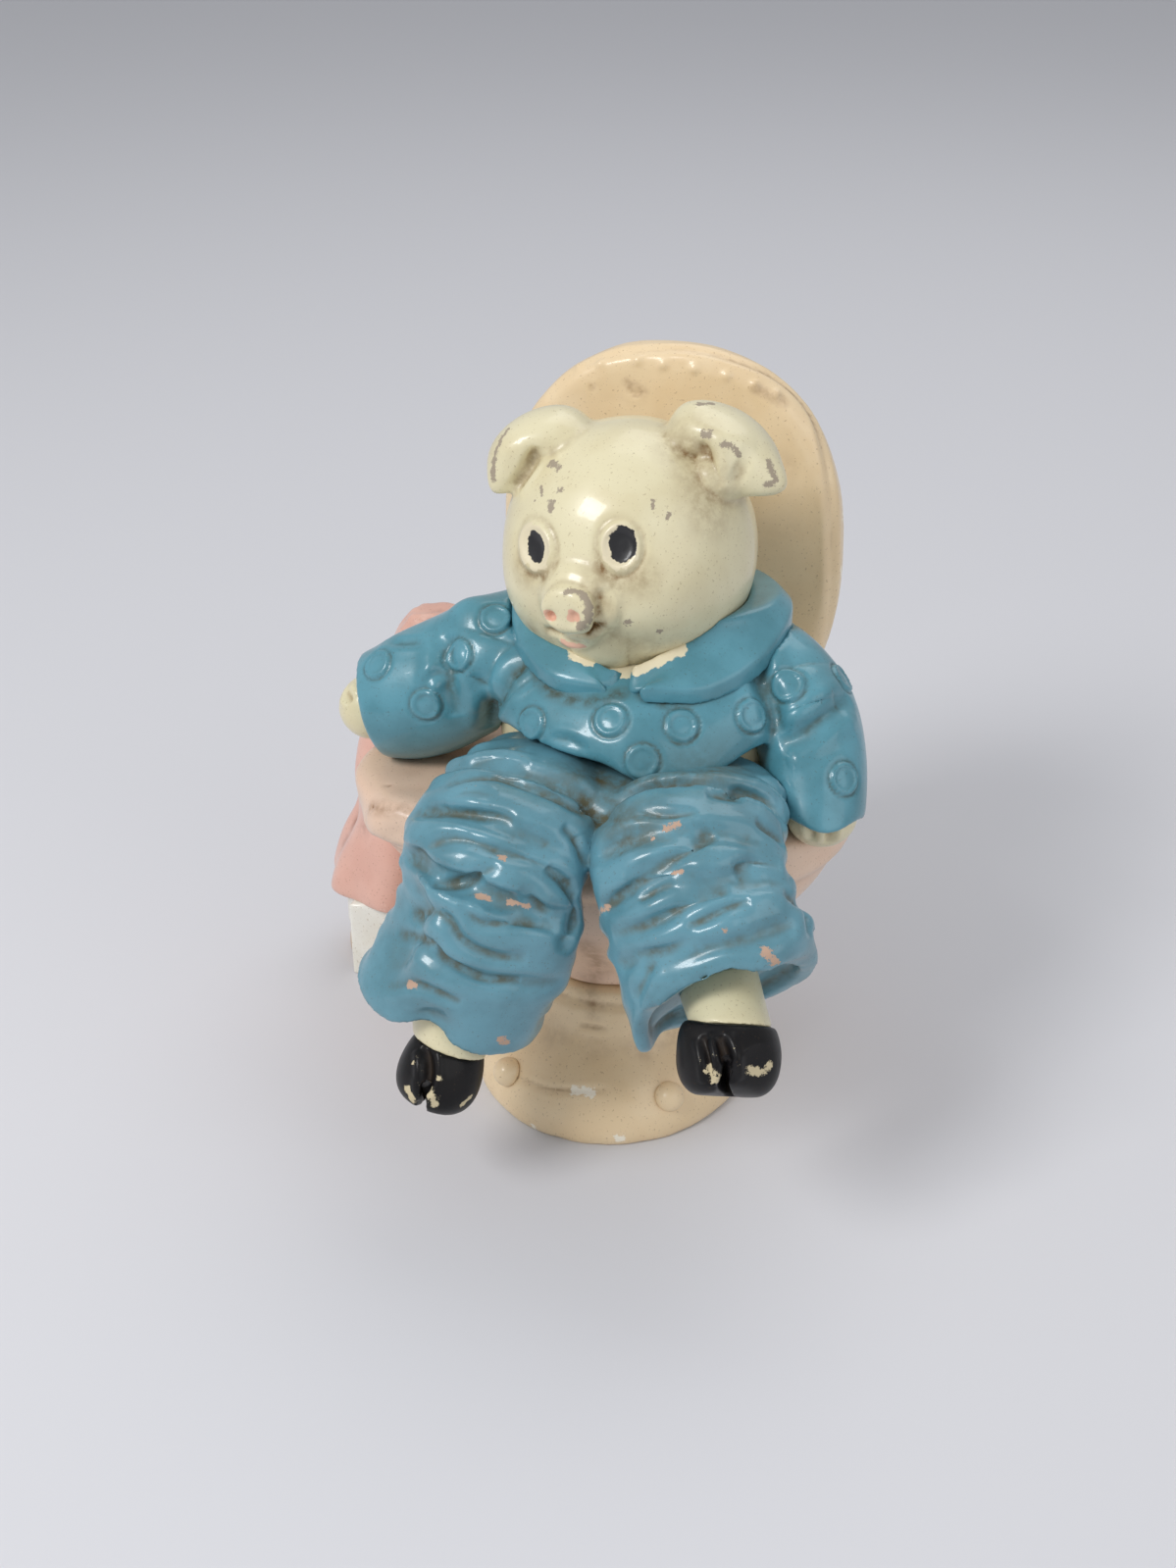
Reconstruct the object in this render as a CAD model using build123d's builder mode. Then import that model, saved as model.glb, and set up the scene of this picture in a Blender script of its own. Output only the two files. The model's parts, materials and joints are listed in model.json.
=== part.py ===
"""Cast figurine of a pig in pyjamas sitting on a toilet, as separate castings.

Sizes are in millimetres and angles in degrees. +Z is up, the pig faces -Y and
its right hand is on the -X side. The origin is the centre of the underside of
the toilet's foot. Places on the pig are measured from the middle of its seat.
"""

import os

from build123d import *

# Fits shared by all pieces
GLUE_GAP = 0.05
# Size of the blocks that trim pieces, larger than the whole figurine
OVERRUN = 240.0

# Toilet foot
FOOT_HALF_WIDTH = 26.0
FOOT_HALF_LENGTH = 29.5
FOOT_HEIGHT = 19.0
# Each pair is a share of the height and of the half sizes
FOOT_PROFILE_SHARES = ((0.0, 1.0), (0.2, 1.01), (0.45, 0.93), (0.66, 0.77), (1.0, 0.64))
RING_HEIGHT = 3.0
RING_ROUND = 1.3
LOWER_RING_RADIUS = 18.5
UPPER_RING_RADIUS = 17.0
SPIGOT_RADIUS = 8.0
SPIGOT_LENGTH = 7.0
BOLT_CAP_RADIUS = 2.8
BOLT_CAP_ANGLE = 38.0
BOLT_CAP_HEIGHT = 8.0
BOLT_CAP_OVAL_SHARE = 0.95

# Toilet bowl
STEM_RADIUS = 15.5
BOWL_HEIGHT = 31.0
BOWL_HALF_WIDTH = 44.0
BOWL_HALF_LENGTH = 31.5
BOWL_SHIFT_X = -3.0
BOWL_SHIFT_Y = 3.0
# Each pair is a share of the height and of the growth from stem to rim
BOWL_GROWTH_SHARES = ((0.0, 0.0), (0.13, 0.1), (0.35, 0.5), (0.58, 0.79), (0.8, 0.94), (1.0, 1.0))
RIM_HEIGHT = 4.5
RIM_OVERHANG = 1.2
RIM_ROUND = 1.5
DECK_WIDTH = 40.0
DECK_LENGTH = 20.0
DECK_HEIGHT = 11.0
DECK_ROUND = 4.0

# Toilet seat
SEAT_THICKNESS = 4.5
SEAT_HALF_WIDTH = 44.5
SEAT_HALF_LENGTH = 29.5
SEAT_SHIFT_Y = 1.0
SEAT_ROUND = 1.6
SEAT_HOLE_HALF_WIDTH = 21.0
SEAT_HOLE_HALF_LENGTH = 18.0

# Toilet lid
LID_HALF_WIDTH = 32.5
LID_HEIGHT = 72.5
LID_THICKNESS = 9.0
LID_ROUND = 3.4
LID_FRONT = 36.0
LID_SHIFT_X = 0.8
# Each pair is a share of the half width and of the height
LID_OUTLINE_SHARES = (
    (0.55, 0.0),
    (0.87, 0.13),
    (0.98, 0.3),
    (1.0, 0.5),
    (0.93, 0.7),
    (0.74, 0.86),
    (0.42, 0.965),
)
HINGE_RADIUS = 2.4
HINGE_LENGTH = 8.0
HINGE_SPREAD = 10.0

# Heights and places that follow from the toilet
BOWL_BASE = FOOT_HEIGHT + RING_HEIGHT + RING_HEIGHT
RIM_TOP = BOWL_BASE + BOWL_HEIGHT
SEAT_TOP = RIM_TOP + SEAT_THICKNESS
PIG_X = 4.5
PIG_Y = 6.0

# Hips, sitting on the seat with a boss in its hole
HIPS_HALF_WIDTH = 27.0
HIPS_HALF_LENGTH = 22.0
HIPS_HEIGHT = 15.8
HIPS_FRONT = 17.0
HIPS_SHARES = ((0.0, 0.9), (0.35, 1.0), (0.7, 1.0), (1.0, 0.95))

# Jacket, standing on the hips
JACKET_HEIGHT = 17.2
JACKET_HALF_WIDTH = 28.0
JACKET_HALF_LENGTH = 26.5
JACKET_SHIFT_Y = 3.0
# Shares of the height, the half width, the half length and the backward shift
JACKET_SHARES = (
    (0.0, 1.0, 1.0, -1.0),
    (0.2, 1.0, 0.97, -0.9),
    (0.55, 0.95, 0.78, -0.3),
    (1.0, 0.7, 0.5, 0.4),
)

# Collar, a layer over the shoulders round the head
COLLAR_THICKNESS = 2.4
COLLAR_HALF_WIDTH = 24.5
COLLAR_HALF_LENGTH = 25.0
COLLAR_NOTCH_WIDTH = 9.0
COLLAR_NOTCH_DEPTH = 9.0

# Trouser legs: path places from the seat middle, then half sizes along the path
LEG_HALF_WIDTH = 16.5
LEG_HALF_HEIGHT = 11.0
LEG_WIDTH_SHARES = (0.78, 0.86, 0.95, 0.98, 0.98)
RIGHT_LEG_HEIGHT_SHARES = (0.62, 0.66, 0.94, 0.95, 1.0)
LEFT_LEG_HEIGHT_SHARES = (0.62, 0.66, 0.94, 0.95, 1.3)
LEG_HALF_WIDTHS = [LEG_HALF_WIDTH * share for share in LEG_WIDTH_SHARES]
# How far the inner side of each leg keeps from the pig's middle, from hip to hem
RIGHT_LEG_GAPS = (0.23, 0.21, 0.225, 3.33, 8.33)
LEFT_LEG_GAPS = (0.23, 0.81, 0.525, 4.03, 7.33)
RIGHT_LEG_HIP = (-LEG_HALF_WIDTHS[0] - RIGHT_LEG_GAPS[0], -HIPS_FRONT, 7.6)
RIGHT_LEG_THIGH = (-LEG_HALF_WIDTHS[1] - RIGHT_LEG_GAPS[1], -27.0, 8.4)
RIGHT_LEG_KNEE = (-LEG_HALF_WIDTHS[2] - RIGHT_LEG_GAPS[2], -44.5, 5.5)
RIGHT_LEG_SHIN = (-LEG_HALF_WIDTHS[3] - RIGHT_LEG_GAPS[3], -49.0, -9.0)
RIGHT_LEG_HEM = (-LEG_HALF_WIDTHS[4] - RIGHT_LEG_GAPS[4], -48.5, -24.0)
LEFT_LEG_HIP = (LEG_HALF_WIDTHS[0] + LEFT_LEG_GAPS[0], -HIPS_FRONT, 7.6)
LEFT_LEG_THIGH = (LEG_HALF_WIDTHS[1] + LEFT_LEG_GAPS[1], -27.0, 8.4)
LEFT_LEG_KNEE = (LEG_HALF_WIDTHS[2] + LEFT_LEG_GAPS[2], -44.5, 5.5)
LEFT_LEG_SHIN = (LEG_HALF_WIDTHS[3] + LEFT_LEG_GAPS[3], -49.5, -2.0)
LEFT_LEG_HEM = (LEG_HALF_WIDTHS[4] + LEFT_LEG_GAPS[4], -50.5, -12.8)
# Cloth folds across the legs; each share counts the places passed along the path
FOLD_RADIUS = 2.4
FOLD_DEPTH = 1.4
FOLD_SHARES = (1.35, 1.95, 2.45, 3.05)
HEM_WALL = 3.2
HEM_DEPTH = 2.4
# Directions in which the open hems face
RIGHT_HEM_HEADING = (-0.32, 0.03, -0.95)
LEFT_HEM_HEADING = (0.46, -0.66, -0.6)

# Ankles and hooves
ANKLE_RADIUS = 6.6
RIGHT_HOOF_RADIUS = 7.2
LEFT_HOOF_RADIUS = 8.2
HOOF_LENGTH = 11.0
HOOF_SHARES = ((0.0, 0.86), (0.35, 1.0), (0.75, 0.95), (1.0, 0.62))
HOOF_CLEFT_WIDTH = 1.6
HOOF_CLEFT_DEPTH = 5.0
# How far the ankles' ends lie sideways from the middles of the hems
RIGHT_ANKLE_SHIFT = 1.5
LEFT_ANKLE_SHIFT = 2.5
RIGHT_ANKLE_END = (RIGHT_LEG_HEM[0] + RIGHT_ANKLE_SHIFT, -51.0, -30.5)
LEFT_ANKLE_END = (LEFT_LEG_HEM[0] + LEFT_ANKLE_SHIFT, -57.4, -13.4)
# Directions in which the feet hang
RIGHT_FOOT_HEADING = (-0.25, -0.4, -0.9)
LEFT_FOOT_HEADING = (0.1, -0.62, -0.78)

# Sleeves and hands
SLEEVE_RADIUS = 11.5
RIGHT_SLEEVE_SHARES = (0.96, 1.0, 1.0, 0.84)
LEFT_SLEEVE_SHARES = (0.96, 0.96, 0.83, 0.78, 0.75)
RIGHT_SLEEVE_SHOULDER = (-13.0, 0.0, 21.5)
RIGHT_SLEEVE_ARM = (-28.5, -2.0, 18.5)
RIGHT_SLEEVE_ELBOW = (-41.5, -5.0, 11.5)
RIGHT_SLEEVE_CUFF = (-50.0, -6.0, 9.0)
LEFT_SLEEVE_SHOULDER = (12.0, 0.0, 22.0)
LEFT_SLEEVE_ARM = (22.5, -3.0, 19.5)
LEFT_SLEEVE_ELBOW = (30.0, -9.0, 13.5)
LEFT_SLEEVE_FOREARM = (32.0, -14.0, 7.5)
LEFT_SLEEVE_CUFF = (32.5, -17.0, 3.0)
HAND_RADIUS = 6.0
RIGHT_HAND = (-51.5, -4.0, 7.5)
LEFT_HAND = (34.2, -18.5, 3.5)
# Directions that keep the sleeve sections from twisting
RIGHT_SLEEVE_SIDE = (0.0, 1.0, 0.0)
LEFT_SLEEVE_SIDE = (0.1, 0.85, -0.5)

# Head, snout and ears
HEAD_X = -4.0
HEAD_Y = 0.0
HEAD_RISE = 42.0
HEAD_RADIUS = 22.0
HEAD_HALF_HEIGHT = 22.5
HEAD_YAW = -11.0
NECK_RADIUS = 12.0
NECK_LENGTH = 24.5
MUZZLE_REACH = 23.5
MUZZLE_DROP = 1.5
MUZZLE_ROOT_RADIUS = 13.0
MUZZLE_END_RADIUS = 5.6
MUZZLE_ROOT_SHARE = 0.55
SNOUT_HALF_WIDTH = 4.6
SNOUT_HALF_HEIGHT = 4.1
SNOUT_THICKNESS = 3.4
SNOUT_ROUND = 1.0
NOSTRIL_RADIUS = 0.9
NOSTRIL_DEPTH = 1.2
NOSTRIL_SPREAD = 2.2
NOSTRIL_DROP = 1.2
EAR_HALF_WIDTH = 7.0
EAR_HALF_THICKNESS = 3.9
EAR_WIDTH_SHARES = (0.8, 1.0, 1.0, 0.72)
EAR_THICKNESS_SHARES = (0.8, 1.0, 1.0, 0.8)
RIGHT_EAR_ROOT = (-12.0, 1.0, 59.5)
RIGHT_EAR_RISE = (-18.5, 0.5, 61.5)
RIGHT_EAR_FOLD = (-23.8, -0.5, 58.5)
RIGHT_EAR_TIP = (-24.3, -1.5, 52.0)
LEFT_EAR_ROOT = (3.0, 1.0, 61.0)
LEFT_EAR_RISE = (10.0, 1.0, 64.0)
LEFT_EAR_FOLD = (15.8, 0.5, 61.0)
LEFT_EAR_TIP = (17.8, -1.0, 54.5)

# Stand beside the toilet
STAND_CLEARANCE = 4.5
STAND_X = BOWL_SHIFT_X - BOWL_HALF_WIDTH - STAND_CLEARANCE
STAND_Y = 25.0
STAND_RADIUS = 11.5
STAND_BEAD_RADIUS = 2.6
STAND_HEIGHT = 9.0
STAND_POST_RADIUS = 8.0
ROLL_RADIUS = 10.5
ROLL_HEIGHT = 16.0
ROLL_SHIFT_Y = -2.6
PAPER_WIDTH = 14.0
PAPER_THICKNESS = 1.5
TOWEL_BASE = 17.0
TOWEL_HEIGHT = 60.5
TOWEL_HALF_WIDTH = 14.5
TOWEL_LEAN_X = 10.0
TOWEL_LEAN_Y = 1.0
# Shares of the height, the half width and the lean
TOWEL_SHARES = (
    (0.0, 1.0, 0.0),
    (0.3, 0.94, 0.25),
    (0.65, 0.8, 0.65),
    (0.92, 0.55, 0.95),
    (1.0, 0.36, 1.0),
)


def on_pig(place):
    """Turns a place measured from the pig's seat into a place in the model."""
    x, y, z = place
    return Vector(PIG_X + x, PIG_Y + y, SEAT_TOP + z)


def oval(place, half_width, half_length):
    """Draws one level oval section at a place."""
    with BuildSketch(Plane(origin=place)) as section:
        Ellipse(half_width, half_length)
    return section.sketch


def oval_stack(place, height, half_width, half_length, shares):
    """Draws the sections of an upright oval form from shares of its height and sizes."""
    x, y, z = place
    return [
        oval((x, y, z + height * height_share), half_width * size_share, half_length * size_share)
        for height_share, size_share in shares
    ]


def path_directions(places):
    """Gives the heading of a path at each of its places."""
    last = len(places) - 1
    return [(places[min(i + 1, last)] - places[max(i - 1, 0)]).normalized() for i in range(last + 1)]


def limb_sections(places, headings, side, half_widths, half_heights):
    """Draws oval sections square to the headings, with their width along the side direction."""
    sections = []
    for place, heading, half_width, half_height in zip(places, headings, half_widths, half_heights):
        with BuildSketch(Plane(origin=place, x_dir=side, z_dir=heading)) as section:
            Ellipse(half_width, half_height)
        sections.append(section.sketch)
    return sections


def between(values, way):
    """Reads a list at a place between its entries, such as 1.5 for halfway from the second to the third."""
    step = int(way)
    return values[step] * (1 - way + step) + values[step + 1] * (way - step)


def save(builder, name):
    """Names a finished piece and writes it out."""
    builder.part.label = name
    export_step(builder.part, f"parts/{name}.step")


os.makedirs("parts", exist_ok=True)

# Toilet foot with its two rings and the socket for the stem
with BuildPart() as toilet_foot:
    loft(oval_stack((0, 0, 0), FOOT_HEIGHT, FOOT_HALF_WIDTH, FOOT_HALF_LENGTH, FOOT_PROFILE_SHARES))
    for level, radius in enumerate((LOWER_RING_RADIUS, UPPER_RING_RADIUS)):
        with BuildPart(mode=Mode.PRIVATE) as ring:
            with BuildSketch(Plane.XY.offset(FOOT_HEIGHT + level * RING_HEIGHT)):
                Circle(radius)
            extrude(amount=RING_HEIGHT)
            fillet(ring.edges(), RING_ROUND)
        add(ring.part)
    with BuildSketch(Plane.XY.offset(BOWL_BASE)):
        Circle(SPIGOT_RADIUS + GLUE_GAP)
    extrude(amount=-SPIGOT_LENGTH, mode=Mode.SUBTRACT)

# Bolt caps, half sunk in the shoulder of the foot
with BuildPart() as foot_bolt_caps:
    for angle in (-BOLT_CAP_ANGLE, BOLT_CAP_ANGLE):
        cap_x = FOOT_HALF_WIDTH * BOLT_CAP_OVAL_SHARE * Vector(0, -1).rotate(Axis.Z, angle).X
        cap_y = FOOT_HALF_LENGTH * BOLT_CAP_OVAL_SHARE * Vector(0, -1).rotate(Axis.Z, angle).Y
        with Locations((cap_x, cap_y, BOLT_CAP_HEIGHT)):
            Sphere(BOLT_CAP_RADIUS)
    add(toilet_foot.part, mode=Mode.SUBTRACT)

# Toilet bowl: spigot, stem, flaring bowl, rim band and rear deck
with BuildPart() as toilet_bowl:
    loft(
        [
            oval(
                (
                    BOWL_SHIFT_X * growth_share,
                    BOWL_SHIFT_Y * growth_share,
                    BOWL_BASE + BOWL_HEIGHT * height_share,
                ),
                STEM_RADIUS + (BOWL_HALF_WIDTH - STEM_RADIUS) * growth_share,
                STEM_RADIUS + (BOWL_HALF_LENGTH - STEM_RADIUS) * growth_share,
            )
            for height_share, growth_share in BOWL_GROWTH_SHARES
        ]
    )
    with BuildSketch(Plane.XY.offset(BOWL_BASE)):
        Circle(SPIGOT_RADIUS)
    extrude(amount=GLUE_GAP - SPIGOT_LENGTH)
    with BuildPart(mode=Mode.PRIVATE) as rim:
        rim_outline = oval(
            (BOWL_SHIFT_X, BOWL_SHIFT_Y, RIM_TOP - RIM_HEIGHT),
            BOWL_HALF_WIDTH + RIM_OVERHANG,
            BOWL_HALF_LENGTH + RIM_OVERHANG,
        )
        extrude(rim_outline, amount=RIM_HEIGHT)
        fillet(rim.edges(), RIM_ROUND)
    add(rim.part)
    with BuildPart(mode=Mode.PRIVATE) as deck:
        with BuildSketch(Plane.XY.offset(RIM_TOP - DECK_HEIGHT)):
            with Locations((LID_SHIFT_X, LID_FRONT + LID_THICKNESS - DECK_LENGTH / 2)):
                Rectangle(DECK_WIDTH, DECK_LENGTH)
        extrude(amount=DECK_HEIGHT)
        fillet(deck.edges().filter_by(Axis.Z), DECK_ROUND)
    add(deck.part)

# Toilet seat, a ring whose hole takes the boss under the hips
with BuildPart() as toilet_seat:
    seat_outline = oval((BOWL_SHIFT_X, SEAT_SHIFT_Y, RIM_TOP), SEAT_HALF_WIDTH, SEAT_HALF_LENGTH)
    extrude(seat_outline, amount=SEAT_THICKNESS)
    fillet(toilet_seat.edges(), SEAT_ROUND)
    seat_hole = oval((PIG_X, PIG_Y, RIM_TOP), SEAT_HOLE_HALF_WIDTH, SEAT_HOLE_HALF_LENGTH)
    extrude(seat_hole, amount=SEAT_THICKNESS, mode=Mode.SUBTRACT)

# Toilet lid, standing on the deck
with BuildPart() as toilet_lid:
    with BuildSketch(Plane(origin=(LID_SHIFT_X, LID_FRONT, RIM_TOP), x_dir=(1, 0, 0), z_dir=(0, -1, 0))):
        with BuildLine():
            outline = [
                (LID_HALF_WIDTH * width_share, LID_HEIGHT * height_share)
                for width_share, height_share in LID_OUTLINE_SHARES
            ]
            mirrored = [(-x, y) for x, y in reversed(outline)]
            edge = Spline(*outline, (0, LID_HEIGHT), *mirrored)
            Line(edge @ 1, edge @ 0)
        make_face()
    extrude(amount=-LID_THICKNESS)
    lid_rims = toilet_lid.faces().sort_by(Axis.Y)
    fillet(lid_rims[0].edges() + lid_rims[-1].edges(), LID_ROUND)

# Hinge barrels on blocks between the seat and the lid
with BuildPart() as lid_hinges:
    hinge_y = LID_FRONT - HINGE_RADIUS
    for side in (-1, 1):
        hinge_x = LID_SHIFT_X + side * HINGE_SPREAD
        with Locations((hinge_x, hinge_y, RIM_TOP + HINGE_RADIUS / 2)):
            Box(HINGE_LENGTH, HINGE_RADIUS * 2, HINGE_RADIUS)
        with Locations((hinge_x, hinge_y, RIM_TOP + HINGE_RADIUS)):
            Cylinder(HINGE_RADIUS, HINGE_LENGTH, rotation=(0, 90, 0))
    add(toilet_lid.part, mode=Mode.SUBTRACT)

# Hips on the seat
with BuildPart() as hips:
    loft(oval_stack((PIG_X, PIG_Y, SEAT_TOP), HIPS_HEIGHT, HIPS_HALF_WIDTH, HIPS_HALF_LENGTH, HIPS_SHARES))
    hips_front = Plane(origin=(PIG_X, PIG_Y - HIPS_FRONT, SEAT_TOP), x_dir=(1, 0, 0), z_dir=(0, -1, 0))
    with BuildSketch(hips_front):
        Rectangle(OVERRUN, OVERRUN)
    extrude(amount=OVERRUN, mode=Mode.SUBTRACT)
    boss = oval(
        (PIG_X, PIG_Y, SEAT_TOP),
        SEAT_HOLE_HALF_WIDTH - GLUE_GAP,
        SEAT_HOLE_HALF_LENGTH - GLUE_GAP,
    )
    extrude(boss, amount=GLUE_GAP - SEAT_THICKNESS)

# Head: skull, muzzle and neck spigot, turned towards the pig's right
head_middle = on_pig((HEAD_X, HEAD_Y, HEAD_RISE))
face = Vector(0, -1, 0).rotate(Axis.Z, HEAD_YAW)
face_side = Vector(1, 0, 0).rotate(Axis.Z, HEAD_YAW)
muzzle_end = head_middle + face * MUZZLE_REACH - Vector(0, 0, MUZZLE_DROP)
with BuildPart() as head:
    with BuildSketch(Plane(origin=head_middle, x_dir=(1, 0, 0), z_dir=(0, -1, 0))):
        Ellipse(HEAD_RADIUS, HEAD_HALF_HEIGHT)
        with Locations((-HEAD_RADIUS / 2, 0)):
            Rectangle(HEAD_RADIUS, HEAD_HALF_HEIGHT * 2, mode=Mode.SUBTRACT)
    revolve(axis=Axis(head_middle, (0, 0, 1)))
    with BuildSketch(Plane(origin=muzzle_end, x_dir=face_side, z_dir=face)):
        Circle(MUZZLE_END_RADIUS)
    with BuildSketch(
        Plane(origin=muzzle_end - face * MUZZLE_REACH * MUZZLE_ROOT_SHARE, x_dir=face_side, z_dir=face)
    ):
        Circle(MUZZLE_ROOT_RADIUS)
    loft()
    with BuildSketch(Plane(origin=head_middle)):
        Circle(NECK_RADIUS)
    extrude(amount=-NECK_LENGTH)

# Snout disc with its nostrils
with BuildPart() as snout:
    with BuildSketch(Plane(origin=muzzle_end, x_dir=face_side, z_dir=face)):
        Ellipse(SNOUT_HALF_WIDTH, SNOUT_HALF_HEIGHT)
    extrude(amount=SNOUT_THICKNESS)
    fillet(snout.edges(), SNOUT_ROUND)
    with BuildSketch(Plane(origin=muzzle_end + face * SNOUT_THICKNESS, x_dir=face_side, z_dir=face)):
        with Locations((-NOSTRIL_SPREAD, -NOSTRIL_DROP), (NOSTRIL_SPREAD, -NOSTRIL_DROP)):
            Circle(NOSTRIL_RADIUS)
    extrude(amount=-NOSTRIL_DEPTH, mode=Mode.SUBTRACT)

# Ears, folded over to the sides
EAR_PLACES = {
    "ear_right": (RIGHT_EAR_ROOT, RIGHT_EAR_RISE, RIGHT_EAR_FOLD, RIGHT_EAR_TIP),
    "ear_left": (LEFT_EAR_ROOT, LEFT_EAR_RISE, LEFT_EAR_FOLD, LEFT_EAR_TIP),
}
for name, places in EAR_PLACES.items():
    path = [on_pig(place) for place in places]
    with BuildPart() as ear:
        loft(
            limb_sections(
                path,
                path_directions(path),
                (0, 1, 0),
                [EAR_HALF_WIDTH * share for share in EAR_WIDTH_SHARES],
                [EAR_HALF_THICKNESS * share for share in EAR_THICKNESS_SHARES],
            )
        )
        add(head.part, mode=Mode.SUBTRACT)
    save(ear, name)

# Trouser legs from the hips to an open hem, with the ankle in the hem and the hoof below
LEG_PLACES = {
    "right": (RIGHT_LEG_HIP, RIGHT_LEG_THIGH, RIGHT_LEG_KNEE, RIGHT_LEG_SHIN, RIGHT_LEG_HEM),
    "left": (LEFT_LEG_HIP, LEFT_LEG_THIGH, LEFT_LEG_KNEE, LEFT_LEG_SHIN, LEFT_LEG_HEM),
}
HEM_HEADINGS = {"right": RIGHT_HEM_HEADING, "left": LEFT_HEM_HEADING}
LEG_HEIGHT_SHARES = {"right": RIGHT_LEG_HEIGHT_SHARES, "left": LEFT_LEG_HEIGHT_SHARES}
FEET = {
    "right": (RIGHT_ANKLE_END, RIGHT_FOOT_HEADING, RIGHT_HOOF_RADIUS),
    "left": (LEFT_ANKLE_END, LEFT_FOOT_HEADING, LEFT_HOOF_RADIUS),
}
trouser_legs = {}
for side, places in LEG_PLACES.items():
    path = [on_pig(place) for place in places]
    height_shares = LEG_HEIGHT_SHARES[side]
    headings = path_directions(path)
    headings[0] = Vector(0, -1, 0)
    headings[-1] = Vector(*HEM_HEADINGS[side])
    hem_plane = Plane(origin=path[-1], x_dir=(1, 0, 0), z_dir=headings[-1])
    with BuildPart() as leg:
        loft(
            limb_sections(
                path,
                headings,
                (1, 0, 0),
                LEG_HALF_WIDTHS,
                [LEG_HALF_HEIGHT * share for share in height_shares],
            )
        )
        for way in FOLD_SHARES:
            half_width = between(LEG_HALF_WIDTHS, way)
            half_height = LEG_HALF_HEIGHT * between(height_shares, way)
            bend_radius = half_width * half_width / half_height
            fold = Plane(origin=between(path, way), x_dir=(1, 0, 0), z_dir=between(headings, way))
            outward = fold.y_dir if fold.y_dir.Y < 0 else -fold.y_dir
            fold.origin += outward * (half_height - bend_radius + FOLD_RADIUS - FOLD_DEPTH)
            with Locations(fold.location):
                Torus(bend_radius, FOLD_RADIUS, mode=Mode.SUBTRACT)
        with BuildSketch(hem_plane):
            Ellipse(
                LEG_HALF_WIDTHS[-1] - HEM_WALL,
                LEG_HALF_HEIGHT * height_shares[-1] - HEM_WALL,
            )
        extrude(amount=-HEM_DEPTH, mode=Mode.SUBTRACT)
    trouser_legs[side] = leg
    save(leg, f"trouser_leg_{side}")

    ankle_end, foot_heading, hoof_radius = FEET[side]
    hoof_plane = Plane(origin=on_pig(ankle_end), x_dir=(1, 0, 0), z_dir=foot_heading)
    with BuildPart() as ankle:
        with BuildSketch(hem_plane.offset(-HEM_DEPTH)):
            Circle(ANKLE_RADIUS)
        with BuildSketch(hoof_plane):
            Circle(ANKLE_RADIUS)
        loft()
    save(ankle, f"ankle_{side}")

    with BuildPart() as hoof:
        for length_share, radius_share in HOOF_SHARES:
            with BuildSketch(hoof_plane.offset(HOOF_LENGTH * length_share)):
                Circle(hoof_radius * radius_share)
        loft()
        with BuildSketch(hoof_plane.offset(HOOF_LENGTH)):
            with Locations((0, hoof_radius / 2)):
                Rectangle(HOOF_CLEFT_WIDTH, hoof_radius * 2)
        extrude(amount=-HOOF_CLEFT_DEPTH, mode=Mode.SUBTRACT)
    save(hoof, f"hoof_{side}")


def jacket_sections(extra):
    """Draws the jacket's level sections, grown by an extra thickness."""
    return [
        oval(
            (
                PIG_X,
                PIG_Y + JACKET_SHIFT_Y * shift_share,
                SEAT_TOP + HIPS_HEIGHT + (JACKET_HEIGHT + extra) * height_share,
            ),
            JACKET_HALF_WIDTH * width_share + extra,
            JACKET_HALF_LENGTH * length_share + extra,
        )
        for height_share, width_share, length_share, shift_share in JACKET_SHARES
    ]


# Jacket body, with a seat for the head
with BuildPart() as jacket:
    loft(jacket_sections(0))
    add(head.part, mode=Mode.SUBTRACT)

# Collar flaps: a layer over the jacket, notched in front and parted in the middle
collars = []
for name, inner in (("collar_right", 1), ("collar_left", -1)):
    with BuildPart() as collar:
        loft(jacket_sections(COLLAR_THICKNESS))
        with BuildSketch(Plane(origin=(PIG_X, PIG_Y, SEAT_TOP))):
            Ellipse(COLLAR_HALF_WIDTH, COLLAR_HALF_LENGTH)
            with BuildLine():
                notch_top = -COLLAR_HALF_LENGTH + COLLAR_NOTCH_DEPTH
                Polyline(
                    (0, notch_top),
                    (-COLLAR_NOTCH_WIDTH, -COLLAR_HALF_LENGTH),
                    (COLLAR_NOTCH_WIDTH, -COLLAR_HALF_LENGTH),
                    close=True,
                )
            make_face(mode=Mode.SUBTRACT)
        extrude(amount=OVERRUN, mode=Mode.INTERSECT)
        with BuildSketch(Plane(origin=(PIG_X, PIG_Y, 0), x_dir=(0, 1, 0), z_dir=(inner, 0, 0))):
            Rectangle(OVERRUN, OVERRUN)
        extrude(amount=OVERRUN, mode=Mode.SUBTRACT)
        with BuildPart(mode=Mode.PRIVATE) as under_jacket:
            loft(jacket_sections(0))
        add(under_jacket.part, mode=Mode.SUBTRACT)
        add(head.part, mode=Mode.SUBTRACT)
    collars.append(collar)
    save(collar, name)

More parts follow.
